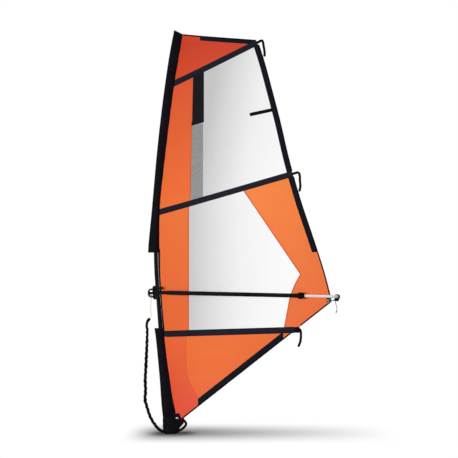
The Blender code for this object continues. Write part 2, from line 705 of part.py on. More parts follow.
def build_eyelet(name, place, bore):
    """A pressed ring: a sleeve through the patch with a flange on each side."""
    inner, outer = PATCH_THICKNESS / 2 + GAP, PATCH_THICKNESS / 2 + GAP + EYELET_FLANGE_THICKNESS
    flange, sleeve = bore + EYELET_WALL + EYELET_FLANGE, bore + EYELET_WALL
    profile = ((bore, outer), (flange, outer), (flange, inner), (sleeve, inner), (sleeve, -inner),
               (flange, -inner), (flange, -outer), (bore, -outer))
    ring = turned(name, profile, "stainless_steel", steps=20, ring=True)
    about_y(ring, (place[0], sail_y(*place), place[1]))


# Battens

def build_batten(which):
    height, slope, width, end = BATTEN_LINES[which]
    centre = batten_edge(which, 0)
    luff_x, luff_z = meet_side(centre, luff)
    start = luff_x + POCKET_LUFF_GAP

    def line(low, high, count):
        return [(x, 0.0, centre(x)) for x in np.linspace(low, high, count)]

    # The pocket's front end follows the luff, and its rear end is square
    stretch = math.hypot(1.0, slope)
    lean = (luff(luff_z + 0.01) - luff(luff_z - 0.01)) / 0.02
    front_shear = lean * stretch / (1.0 - lean * slope)
    points = [(x, 0.0, 0.0) for x in np.linspace(start, end, 8)]
    full = width / 2 / math.cos(math.pi / 10)  # so that the ten-sided tube's flats reach the full width
    pocket = as_mesh(tube("batten_pocket_" + which, points, full, 10, caps=False))
    for vert in pocket.data.vertices:
        share = (vert.co.x - start) / (end - start)
        vert.co.x += vert.co.z * (front_shear * (1.0 - share) - slope / stretch * share)
        vert.co.z = centre(vert.co.x) + vert.co.z * stretch
    shape = bmesh.new()
    shape.from_mesh(pocket.data)
    front = [e for e in shape.edges if e.is_boundary and e.verts[0].co.x < start + width]
    bmesh.ops.contextual_create(shape, geom=front)
    bmesh.ops.recalc_face_normals(shape, faces=shape.faces)
    shape.to_mesh(pocket.data)
    shape.free()
    pocket.data.materials.clear()
    pocket.data.materials.append(materials["black_cloth"])
    shell(lay_on_sail(pocket, POCKET_THICKNESS / width), POCKET_WALL)

    lay_on_sail(as_mesh(tube("batten_" + which, line(start + 0.008, end - 0.001, 8), BATTEN_WIDTH / 2, 8,
                             "batten_composite")), BATTEN_THICKNESS / BATTEN_WIDTH)

    tensioner_end = end + TENSIONER_LENGTH[which]
    points = line(end + GAP, tensioner_end, 4)
    radii = [width * share for share in (0.48, 0.50, 0.44, 0.28)]
    lay_on_sail(as_mesh(tube("batten_tensioner_" + which, points, width / 2, 10, "black_plastic",
                             radii=radii)), TENSIONER_THICKNESS / width)
    route = line(tensioner_end + 0.004, tensioner_end + 0.010, 2)
    route += [(x, 0.0, z) for x, z in STRAP_ROUTES[which]]
    route = line(tensioner_end + 2 * GAP, tensioner_end + 0.002, 2) + smooth_path(route, 8)
    lay_on_sail(as_mesh(tube("batten_strap_" + which, route, STRAP_WIDTH / 2, 8,
                             "black_webbing")), STRAP_THICKNESS / STRAP_WIDTH)


def build_mini_batten():
    (x0, z0), (x1, z1) = MINI_BATTEN
    points = [(x0 + (x1 - x0) * s, 0.0, z0 + (z1 - z0) * s) for s in (0.0, 0.03, 0.1, 0.5, 1.0)]
    radii = [MINI_BATTEN_WIDTH * share for share in (0.25, 0.42, 0.5, 0.5, 0.5)]
    batten = as_mesh(tube("mini_batten", points, MINI_BATTEN_WIDTH / 2, 10, "black_cloth", radii=radii))
    lift = -(SAIL_THICKNESS / 2 + 3 * GAP + MINI_BATTEN_THICKNESS / 2)
    lay_on_sail(batten, MINI_BATTEN_THICKNESS / MINI_BATTEN_WIDTH, lift)


# Foot of the mast. Its frame's Z axis is the mast's own axis.

def build_foot():
    frame = empty("mast_foot_frame", (0.0, 0.0, 0.0), -math.degrees(math.atan(MAST_RAKE)))
    neck = BASE_NECK_RADIUS
    profile = ((0.0, BASE_HEIGHT - 0.012), (neck, BASE_HEIGHT - 0.012), (neck, 0.050), (BASE_RADIUS, 0.036),
               (BASE_RADIUS, 0.003), (BASE_RADIUS - 0.003, 0.0), (0.0, 0.0))
    base = turned("base_block", profile, "black_plastic", frame, steps=24)
    rim = rod("base_rim", neck + 0.0015, BASE_HEIGHT - 0.016, BASE_HEIGHT, parent=frame, sides=24)
    combine(base, rim, "UNION")
    px, pz = SHEAVE_PLACE
    lug = block("base_lug", (0.016, -LUG_HALF_WIDTH, 0.030), (LUG_REACH, LUG_HALF_WIDTH, 0.060), parent=frame)
    combine(base, lug, "UNION")
    combine(base, rod("base_socket", SOCKET_RADIUS, -0.01, SOCKET_DEPTH, parent=frame))
    combine(base, rod("base_tube_seat", EXTENSION_RADIUS + GAP, BASE_HEIGHT - 0.012 - EXTENSION_SEAT,
                      BASE_HEIGHT + 0.01, parent=frame))
    slot = SHEAVE_WIDTH / 2 + RUNNING_GAP
    combine(base, block("base_slot", (px - SHEAVE_RADIUS - 0.004, -slot, pz - SHEAVE_RADIUS - 0.003),
                        (LUG_REACH + 0.01, slot, 0.07), parent=frame))
    bore = rod("base_axle_bore", AXLE_RADIUS + RUNNING_GAP, -0.02, 0.02, parent=frame)
    combine(base, about_y(bore, (px, 0.0, pz)))
    button_bore = rod("base_button_bore", BUTTON_RADIUS + RUNNING_GAP, 0.0, 0.05, parent=frame)
    combine(base, about_y(button_bore, (0.0, 0.0, BUTTON_HEIGHT)))

    points = [(0.0, 0.0, z) for z in (BASE_HEIGHT - 0.012 - EXTENSION_SEAT + GAP, EXTENSION_TOP)]
    hollow_tube("extension_tube", points, EXTENSION_RADIUS, EXTENSION_WALL, 12, "alloy", frame)

    about_y(rod("base_axle", AXLE_RADIUS, -LUG_HALF_WIDTH, LUG_HALF_WIDTH, "stainless_steel", frame, 12),
            (px, 0.0, pz))
    sheave = sheave_profile(SHEAVE_RADIUS, SHEAVE_WIDTH, AXLE_RADIUS + RUNNING_GAP)
    about_y(turned("base_sheave", sheave, "black_plastic", frame, steps=20, ring=True), (px, 0.0, pz))

    button = rod("release_button", BUTTON_RADIUS, SOCKET_RADIUS - 0.001, BASE_RADIUS + BUTTON_PROUD,
                 "black_plastic", frame, 16)
    about_y(button, (0.0, 0.0, BUTTON_HEIGHT))


def sheave_profile(radius, width, bore):
    """A grooved wheel's ring section."""
    half = width / 2
    return ((bore, half), (radius, half), (radius, half * 0.72), (radius - 0.0024, half * 0.30),
            (radius - 0.0024, -half * 0.30), (radius, -half * 0.72), (radius, -half), (bore, -half))


def build_downhaul():
    """The line from the lug up through the tack eyelet, down round the sheave and up to its end."""
    turn = Matrix.Rotation(-math.atan(MAST_RAKE), 3, "Y")
    px, pz = SHEAVE_PLACE
    reach = SHEAVE_RADIUS - 0.0024 + ROPE_RADIUS + GAP
    x, z = TACK_EYELET
    y = PATCH_THICKNESS / 2 + GAP + EYELET_FLANGE_THICKNESS + ROPE_RADIUS + 3 * GAP
    low = TACK_EYELET_BORE - ROPE_RADIUS - 4 * GAP
    start = turn @ Vector((0.030, -0.0095, 0.060 + GAP + 0.0002))
    start.z += ROPE_RADIUS
    route = [start, Vector((0.045, -0.0095, 0.090)), Vector((x - 0.005, -y - 0.0012, z - 0.0125)),
             Vector((x, -y, z - 0.0045)), Vector((x, -y + 0.0024, z - low)), Vector((x, 0.0, z - low)),
             Vector((x, y - 0.0024, z - low)), Vector((x, y, z - 0.0045)),
             Vector((x - 0.004, y + 0.0010, z - 0.0125)), Vector((0.060, 0.0030, 0.085))]
    for angle in (25, 0, -30, -60, -90, -120, -150, -180):
        a = math.radians(angle)
        route.append(turn @ Vector((px + reach * math.cos(a), 0.0, pz + reach * math.sin(a))))
    route.append(turn @ Vector((px - reach, 0.0, 0.062)))
    route.append(turn @ Vector((px - reach + 0.0005, 0.0, 0.076)))
    tube("downhaul_line", route, ROPE_RADIUS, 8, "grey_line")


def build_fairing():
    """The soft cover round the foot: a tapering cup, lower at its front and rear than at its sides."""
    shape = bmesh.new()
    rings = []
    count = 20
    hem = BASE_RADIUS + FAIRING_WALL + 2 * GAP
    for share in (0.0, 0.08, 0.32, 0.6, 0.82, 1.0):
        ring = []
        bulge = math.sin(math.pi * min(1.0, share / 1.05)) ** 0.8
        drawn = max(0.0, 1.0 - share / 0.08)
        front = -0.037 - 0.015 * min(1.0, share / 0.3)
        front += (0.037 - hem) * drawn
        rear = 0.062 + 0.010 * share + 0.034 * bulge
        half = FAIRING_HALF_WIDTH - 0.0065 * share ** 2
        half += (hem - half) * drawn
        for index in range(count):
            angle = math.tau * index / count
            c, s = math.cos(angle), math.sin(angle)
            x = rear * c if c > 0 else -front * c
            y = half * s * (1.0 - 0.05 * max(0.0, c))
            top = 0.150 - 0.045 * max(0.0, c) ** 2 - 0.020 * max(0.0, -c) ** 2
            ring.append(shape.verts.new((x, y, 0.001 + (top - 0.001) * share)))
        rings.append(ring)
    for lower, upper in zip(rings, rings[1:]):
        for i in range(count):
            j = (i + 1) % count
            shape.faces.new((lower[i], lower[j], upper[j], upper[i]))
    bmesh.ops.recalc_face_normals(shape, faces=shape.faces)
    mesh = bpy.data.meshes.new("foot_fairing")
    shape.to_mesh(mesh)
    shape.free()
    shell(add("foot_fairing", mesh, "black_cloth"), FAIRING_WALL)
    tube("tack_pull_loop", smooth_path(TACK_LOOP_ROUTE, 14), TACK_LOOP_RADIUS, 8, "black_webbing")


# Boom head: its frame sits on the mast's axis at boom height, with Z along the mast

def build_boom_head(frame):
    mast = mast_radius(BOOM_HEIGHT)
    pad_inner = mast + PAD_EASE
    pad_outer = pad_inner + PAD_THICKNESS
    bore = pad_outer + GAP
    half, front, rear = HEAD_HALF_WIDTH, HEAD_FRONT, HEAD_REAR
    plan = [(rear, -half + 0.002), (rear - 0.002, -half), (-0.022, -half), (front, -0.016), (front, 0.016),
            (-0.022, half), (rear - 0.002, half), (rear, half - 0.002), (rear, bore)]
    plan += arc((0.0, 0.0), bore, 90, 270, 13) + [(rear, -bore)]
    head_body = as_mesh(prism("boom_head_body", [plan], HEAD_BOTTOM, HEAD_TOP, "black_plastic", frame))
    side = [(front - 0.01, HEAD_BOTTOM + 0.010), (front, HEAD_BOTTOM + 0.010), (front + 0.008, HEAD_BOTTOM),
            (rear - 0.004, HEAD_BOTTOM), (rear + 0.01, HEAD_BOTTOM + 0.006), (rear + 0.01, HEAD_TOP - 0.006),
            (rear - 0.004, HEAD_TOP), (front + 0.010, HEAD_TOP), (front, HEAD_TOP - 0.014),
            (front - 0.01, HEAD_TOP - 0.014)]
    combine(head_body, as_mesh(side_prism("head_profile", [side], 0.05, parent=frame)), "INTERSECT")
    bridge = [(front + 0.003, 0.038), (-0.066, 0.038), (-0.080, 0.026), (BRIDGE_FRONT, 0.008),
              (BRIDGE_FRONT, -0.012), (-0.080, -0.030), (-0.064, -0.042), (front + 0.003, -0.042)]
    windows = [[(-0.0655, z0), (-0.0465, z0), (-0.0445, z0 + 0.002), (-0.0445, z1 - 0.002), (-0.0465, z1),
                (-0.0655, z1), (-0.0675, z1 - 0.002), (-0.0675, z0 + 0.002)]
               for z0, z1 in ((0.0095, 0.0225), (-0.0255, -0.0125))]
    combine(head_body, as_mesh(side_prism("head_bridge", [bridge] + windows, BRIDGE_HALF_WIDTH, parent=frame)),
            "UNION")
    shaft_end = TRUNNION_BOSS_END + KNUCKLE_WIDTH - TRUNNION_CAP_THICKNESS
    profile = [(0.0, shaft_end + TRUNNION_CAP_THICKNESS), (TRUNNION_CAP_RADIUS, shaft_end + TRUNNION_CAP_THICKNESS),
               (TRUNNION_CAP_RADIUS, shaft_end), (TRUNNION_RADIUS, shaft_end), (TRUNNION_RADIUS, TRUNNION_BOSS_END),
               (TRUNNION_BOSS_RADIUS, TRUNNION_BOSS_END), (TRUNNION_BOSS_RADIUS, half - 0.004), (0.0, half - 0.004)]
    for side_name, sign in (("port", 1), ("starboard", -1)):
        trunnion = turned("head_trunnion_" + side_name, profile, parent=frame, steps=20)
        trunnion.rotation_euler = (math.radians(90.0 * sign), 0.0, 0.0)
        combine(head_body, trunnion, "UNION")
    x, y = LEVER_PIVOT
    for low in (CLAMP_LOW - 0.0025 - EAR_THICKNESS, CLAMP_HIGH + 0.0025):
        ear = [(x - 0.0070, y - 0.002), (x - 0.004, y - 0.0065), (x + 0.004, y - 0.0065), (x + 0.0070, y - 0.002),
               (x + 0.010, -half + 0.004), (x - 0.004, -half + 0.012)]
        ear_solid = as_mesh(prism("head_ear_%d" % round(low * 1000), [ear], low, low + EAR_THICKNESS, parent=frame))
        combine(head_body, ear_solid, "UNION")
    hole = rod("head_ear_bore", PIN_RADIUS + RUNNING_GAP, 0.0, 0.058, parent=frame, sides=12)
    hole.location = (x, y, 0.002)
    combine(head_body, hole)

    pad = [(0.006, pad_outer)] + arc((0.0, 0.0), pad_outer, 90, 270, 13) + [(0.006, -pad_outer), (0.006, -pad_inner)]
    pad += arc((0.0, 0.0), pad_inner, 270, 90, 13) + [(0.006, pad_inner)]
    prism("mast_pad", [pad], HEAD_BOTTOM + 0.003, HEAD_TOP - 0.003, "black_rubber", frame)

    # Strap round the back of the mast, from the starboard cheek to the lever
    centre = pad_inner + CLAMP_STRAP_THICKNESS / 2
    side_y = half + GAP + CLAMP_STRAP_THICKNESS / 2
    route = [(-0.020, side_y), (rear - 0.001, side_y), (rear + 0.0015, side_y - 0.0020)]
    route += arc((0.0, 0.0), centre, 12, -12, 5)
    route += [(rear + 0.0015, -side_y + 0.0020), (rear - 0.001, -side_y), (x + 0.0125, -side_y)]
    data = bpy.data.curves.new("clamp_strap", "CURVE")
    data.dimensions = "2D"
    data.fill_mode = "NONE"
    data.extrude = (CLAMP_HIGH - CLAMP_LOW) / 2
    spline = data.splines.new("POLY")
    spline.points.add(len(route) - 1)
    for knot, point in zip(spline.points, route):
        knot.co = (*point, 0.0, 1.0)
    ribbon = add("clamp_strap", data, "black_webbing", frame)
    ribbon.location = (0.0, 0.0, (CLAMP_LOW + CLAMP_HIGH) / 2)
    shell(as_mesh(ribbon), CLAMP_STRAP_THICKNESS, offset=0.0)

    # Lever: a hub with pin stubs, a shoe that pulls the strap's end and a long thumb plate
    pivot = bpy.data.objects.new("clamp_lever_axis", None)
    rig.objects.link(pivot)
    pivot.parent = frame
    pivot.location = (x, y, 0.0)
    low, high = CLAMP_LOW - 0.0022, CLAMP_HIGH + 0.0022
    inner, outer = LEVER_THICKNESS / 2 - 0.0012, LEVER_THICKNESS / 2 + 0.0012
    plate = arc((0.0, 0.0), LEVER_HUB_RADIUS, 75, 285, 9)
    plate += [(0.020, -outer), (LEVER_LENGTH - 0.012, -outer), (LEVER_LENGTH, -outer - 0.0050),
              (LEVER_LENGTH + 0.001, -outer - 0.0015), (LEVER_LENGTH - 0.010, inner - 0.0010), (0.016, inner),
              (0.0120, 0.0062), (0.0070, 0.0072)]
    lever = as_mesh(prism("clamp_lever", [plate], low, high, "black_plastic", pivot))
    pin = rod("clamp_lever_pin", PIN_RADIUS, CLAMP_LOW - 0.0022 - EAR_THICKNESS, CLAMP_HIGH + 0.0022 + EAR_THICKNESS,
              parent=pivot, sides=12)
    combine(lever, pin, "UNION")


# Boom arms, grips and the clamps on their ends: the frame's X axis runs aft along the boom

def arm_path(sign, low, high):
    """One arm's points from low to high: bowed outwards, then straight for the tail to slide in."""
    bow = through([(u, y) for u, y in ARM_PLAN])
    rings = [(u, bow(u)) for u in ARM_RINGS[:-1]]
    rings += [(ARM_STRAIGHT_FROM, TAIL_HALF_GAUGE), (ARM_END, TAIL_HALF_GAUGE)]
    along, across = zip(*rings)
    inner = [(u, y) for u, y in rings if low < u < high]
    ends = [(u, float(np.interp(u, along, across))) for u in (low, high)]
    return [(u, sign * y, 0.0) for u, y in ends[:1] + inner + ends[1:]]


def build_boom_side(frame, side_name, sign):
    arm = hollow_tube("boom_arm_" + side_name, arm_path(sign, ARM_RINGS[0], ARM_END), ARM_RADIUS, ARM_WALL, 10,
                      "alloy", frame)
    front = arm_path(sign, 0.0115, ARM_RINGS[1])[:2]
    combine(arm, as_mesh(tube("arm_plug_" + side_name, front, ARM_RADIUS - ARM_WALL / 2, 10, parent=frame)), "UNION")
    face, outer_face = TRUNNION_BOSS_END + GAP, TRUNNION_BOSS_END + GAP + KNUCKLE_WIDTH
    recess = outer_face - TRUNNION_CAP_THICKNESS - 2 * GAP
    for name, radius, low, high, operation in (
            ("knuckle_", KNUCKLE_RADIUS, face, outer_face, "UNION"),
            ("knuckle_bore_", TRUNNION_RADIUS + RUNNING_GAP, 0.03, 0.08, "DIFFERENCE"),
            ("knuckle_recess_", TRUNNION_CAP_RADIUS + RUNNING_GAP, recess, 0.08, "DIFFERENCE")):
        part = rod(name + side_name, radius, low, high, parent=frame)
        part.rotation_euler = (math.radians(-90.0 * sign), 0.0, 0.0)
        combine(arm, part, operation)
    hollow_tube("boom_grip_" + side_name, arm_path(sign, GRIP_START, GRIP_END), ARM_RADIUS + GAP + GRIP_THICKNESS,
                GRIP_THICKNESS, 10, "black_foam", frame)

    # Clamp on the arm's end, which closes on the tail's leg
    bore, seat, step = TAIL_RADIUS + GAP + 0.0001, ARM_RADIUS + GAP, ARM_END + GAP
    profile = [(bore, COLLAR_END), (0.0160, COLLAR_END), (0.0190, COLLAR_END - 0.006),
               (COLLAR_RADIUS, COLLAR_END - 0.024), (COLLAR_RADIUS, COLLAR_START + 0.034),
               (0.0205, COLLAR_START + 0.012), (0.0178, COLLAR_START), (seat, COLLAR_START), (seat, step),
               (bore, step)]
    collar = turned("tail_clamp_" + side_name, profile, "black_plastic", frame, steps=20, ring=True)
    collar.rotation_euler = (0.0, math.radians(90.0), 0.0)
    collar.location = (0.0, sign * TAIL_HALF_GAUGE, 0.0)
    middle = sign * (TAIL_HALF_GAUGE + CLIP_OFFSET)
    deep, floor = CLIP_HALF_HEIGHT + GAP, sign * (TAIL_HALF_GAUGE + CLIP_OFFSET - CLIP_HUB_RADIUS - 2 * GAP)
    outside = sign * (TAIL_HALF_GAUGE + CLIP_OFFSET + 0.0045)
    inside = sign * (TAIL_HALF_GAUGE + 0.0145)
    boss = block("clip_boss_" + side_name, (CLIP_PIVOT - 0.007, min(outside, inside), -0.0130),
                 (CLIP_PIVOT + 0.040, max(outside, inside), 0.0130), parent=frame)
    combine(collar, boss, "UNION")
    far = sign * (TAIL_HALF_GAUGE + 0.05)
    slot = block("clip_slot_" + side_name, (CLIP_PIVOT - 0.02, min(floor, far), -deep),
                 (CLIP_PIVOT + 0.08, max(floor, far), deep), parent=frame)
    combine(collar, slot)
    hole = rod("clip_bore_" + side_name, 0.0015 + RUNNING_GAP, -0.02, 0.02, parent=frame, sides=12)
    hole.location = (CLIP_PIVOT, middle, 0.0)
    combine(collar, hole)

    pivot = bpy.data.objects.new("tail_clip_axis_" + side_name, None)
    rig.objects.link(pivot)
    pivot.parent = frame
    pivot.location = (CLIP_PIVOT, middle, 0.0)
    hub = arc((0.0, 0.0), CLIP_HUB_RADIUS, 60, 300, 9)
    plate = hub + [(0.010, -0.0028), (CLIP_LENGTH - 0.010, -0.0012), (CLIP_LENGTH, 0.0015),
                   (CLIP_LENGTH, 0.0050), (CLIP_LENGTH - 0.006, 0.0045), (0.030, 0.0044), (0.008, 0.0035)]
    plate = [(x, y * sign) for x, y in plate]
    clip = as_mesh(prism("tail_clip_" + side_name, [plate], -CLIP_HALF_HEIGHT, CLIP_HALF_HEIGHT, "black_plastic",
                         pivot))
    combine(clip, rod("clip_pin_" + side_name, 0.0015, -0.0125, 0.0125, parent=pivot, sides=12), "UNION")


# Boom tail

def build_tail(frame):
    gauge = TAIL_HALF_GAUGE
    bend = OUTHAUL_SHEAVE_PLACE[0] - 0.045
    points = [(TAIL_START, -gauge), (bend, -gauge)]
    points += arc((bend, 0.0), gauge, -80, 80, 11) + [(bend, gauge), (TAIL_START, gauge)]
    hollow_tube("tail_tube", [(x, y, 0.0) for x, y in points], TAIL_RADIUS, TAIL_WALL, 10, "alloy", frame)
    apex = bend + gauge
    x, z = OUTHAUL_SHEAVE_PLACE
    side = [(apex - 0.024, 0.0150), (apex - 0.016, 0.0195), (apex + 0.002, 0.0200), (apex + 0.014, 0.0150),
            (apex + 0.019, 0.0040), (apex + 0.019, -0.0180), (apex + 0.014, -0.0280), (apex + 0.002, -0.0200),
            (apex - 0.014, -0.0180), (apex - 0.024, -0.0150)]
    cap = as_mesh(side_prism("tail_end_cap", [side], CAP_HALF_WIDTH, "black_plastic", frame))
    lug = [(x - 0.015, -0.0145), (x - 0.015, -0.0350), (x - 0.010, -0.0400), (x + 0.016, -0.0400),
           (x + 0.024, -0.0340), (x + 0.026, -0.0145)]
    combine(cap, as_mesh(side_prism("cap_lug", [lug], CAP_LUG_HALF_WIDTH, parent=frame)), "UNION")
    tube_points = [(bend - 0.02, -gauge)] + [(bend, -gauge)] + arc((bend, 0.0), gauge, -80, 80, 11)
    tube_points += [(bend, gauge), (bend - 0.02, gauge)]
    groove = as_mesh(tube("cap_groove", [(a, b, 0.0) for a, b in tube_points], TAIL_RADIUS + GAP, 10, parent=frame))
    combine(cap, groove)
    slot = SHEAVE_WIDTH / 2 + RUNNING_GAP
    combine(cap, block("cap_slot", (x - 0.03, -slot, -0.05), (x + 0.0155, slot, z + OUTHAUL_SHEAVE_RADIUS + 0.0010),
                       parent=frame))
    pin = rod("cap_pin", AXLE_RADIUS, -CAP_LUG_HALF_WIDTH + 0.001, CAP_LUG_HALF_WIDTH - 0.001, parent=frame, sides=12)
    combine(cap, about_y(pin, (x, 0.0, z)), "UNION")
    profile = sheave_profile(OUTHAUL_SHEAVE_RADIUS, SHEAVE_WIDTH, AXLE_RADIUS + RUNNING_GAP)
    about_y(turned("outhaul_sheave", profile, "black_plastic", frame, steps=20, ring=True), (x, 0.0, z))


def build_outhaul(frame):
    """From the cap's lug through the clew eyelet and back under the sheave."""
    bpy.context.view_layer.update()
    to_boom = frame.matrix_world.inverted()
    ex, ez = CLEW_EYELET
    eye = to_boom @ Vector((ex, sail_y(ex, ez), ez))
    x, z = OUTHAUL_SHEAVE_PLACE
    reach = OUTHAUL_SHEAVE_RADIUS - 0.0024 + ROPE_RADIUS + GAP
    clear = PATCH_THICKNESS / 2 + GAP + EYELET_FLANGE_THICKNESS + ROPE_RADIUS
    lug_front = x - 0.015
    rim = CLEW_EYELET_BORE - ROPE_RADIUS - GAP
    route = [(lug_front - GAP, -0.0088, -0.0300), (eye.x + rim + 0.020, -0.0088, eye.z + 0.0015),
             (eye.x + rim + 0.0040, eye.y - clear - 0.0040, eye.z), (eye.x + rim - 0.0008, eye.y - clear + 0.0020, eye.z),
             (eye.x + rim - 0.0012, eye.y, eye.z), (eye.x + rim - 0.0008, eye.y + clear - 0.0020, eye.z),
             (eye.x + rim + 0.0040, eye.y + clear + 0.0040, eye.z), (eye.x + rim + 0.020, 0.0060, eye.z),
             (lug_front - 0.004, 0.0024, z - reach + 0.0006), (x - 0.006, 0.0, z - reach)]
    for angle in (-90, -60, -30, 0, 25):
        a = math.radians(angle)
        route.append((x + reach * math.cos(a), 0.0, z + reach * math.sin(a)))
    tube("outhaul_line", route, ROPE_RADIUS, 8, "grey_line", frame)
    tail = smooth_path(OUTHAUL_TAIL_ROUTE, 12)
    radii = [ROPE_RADIUS] * 9 + [0.0034, 0.0042, 0.0030]
    tube("outhaul_tail", tail, ROPE_RADIUS, 8, "grey_line", radii=radii)


def build_uphaul(head_frame):
    """The thin line from the boom head's bridge and the thick knotted rope down to the foot."""
    count = 58
    points = smooth_path(UPHAUL_ROUTE, count)
    radii = [UPHAUL_RADIUS + UPHAUL_KNOT * max(math.exp(-((p.z - knot) / 0.011) ** 2) for knot in UPHAUL_KNOTS)
             for p in points]
    tube("uphaul_rope", points, UPHAUL_RADIUS, 8, "black_webbing", radii=radii)
    bpy.context.view_layer.update()
    # The line rests on the window's sill, with a stopper knot on the starboard side of the bridge
    sill = head_frame.matrix_world @ Vector((-0.056, 0.0, -0.0255 + UPHAUL_LINE_RADIUS + GAP))
    top, down = points[0], (points[1] - points[0]).normalized()
    side = BRIDGE_HALF_WIDTH + UPHAUL_LINE_RADIUS + GAP
    route = [sill + Vector((0.0, side + 0.0110, 0.0)), sill + Vector((0.0, side + 0.0075, 0.0)),
             sill + Vector((0.0, side + 0.0015, 0.0)), sill + Vector((0.0, side - 0.0015, 0.0)),
             sill, sill + Vector((0.0, -side, 0.0)),
             sill + Vector((0.0, -side - 0.0025, -0.0060)), sill + Vector((0.0010, -side - 0.0010, -0.0300)),
             Vector((top.x + 0.008, -0.010, 1.060)), top - down * 0.0140, top - down * 0.0008]
    radii = [0.0030, 0.0078, 0.0060] + [UPHAUL_LINE_RADIUS] * 23
    line = route[:3] + smooth_path(route[3:], 23)
    tube("uphaul_line", line, UPHAUL_LINE_RADIUS, 8, "pale_line", radii=radii)


# Assembly

def build_rig():
    build_mast()
    build_sleeve("luff_sleeve_upper", UPPER_SLEEVE, UPPER_NOSE, HEAD_CUT_SLOPE)
    build_sleeve("luff_sleeve_lower", LOWER_SLEEVE, LOWER_NOSE)
    build_panels()
    build_eyelet("clew_eyelet", CLEW_EYELET, CLEW_EYELET_BORE)
    build_eyelet("tack_eyelet", TACK_EYELET, TACK_EYELET_BORE)
    for which in BATTEN_LINES:
        build_batten(which)
    build_mini_batten()
    build_foot()
    build_downhaul()
    build_fairing()
    on_mast = (mast_x(BOOM_HEIGHT), 0.0, BOOM_HEIGHT)
    head_frame = empty("boom_head_frame", on_mast, -math.degrees(math.atan(MAST_RAKE)))
    build_boom_head(head_frame)
    boom_frame = empty("boom_frame", on_mast, BOOM_DROP)
    for side_name, sign in (("port", -1), ("starboard", 1)):
        build_boom_side(boom_frame, side_name, sign)
    tail_frame = empty("tail_frame", (0.0, 0.0, 0.0), 0.0, boom_frame)
    build_tail(tail_frame)
    build_outhaul(tail_frame)
    build_uphaul(head_frame)


build_rig()
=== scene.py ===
"""Looks for a small windsurf rig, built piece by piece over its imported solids.

Metres, in the solids' own frame: +Z up, +X aft from the mast to the clew. The port side faces the
camera, at -Y.
"""

import json
import math

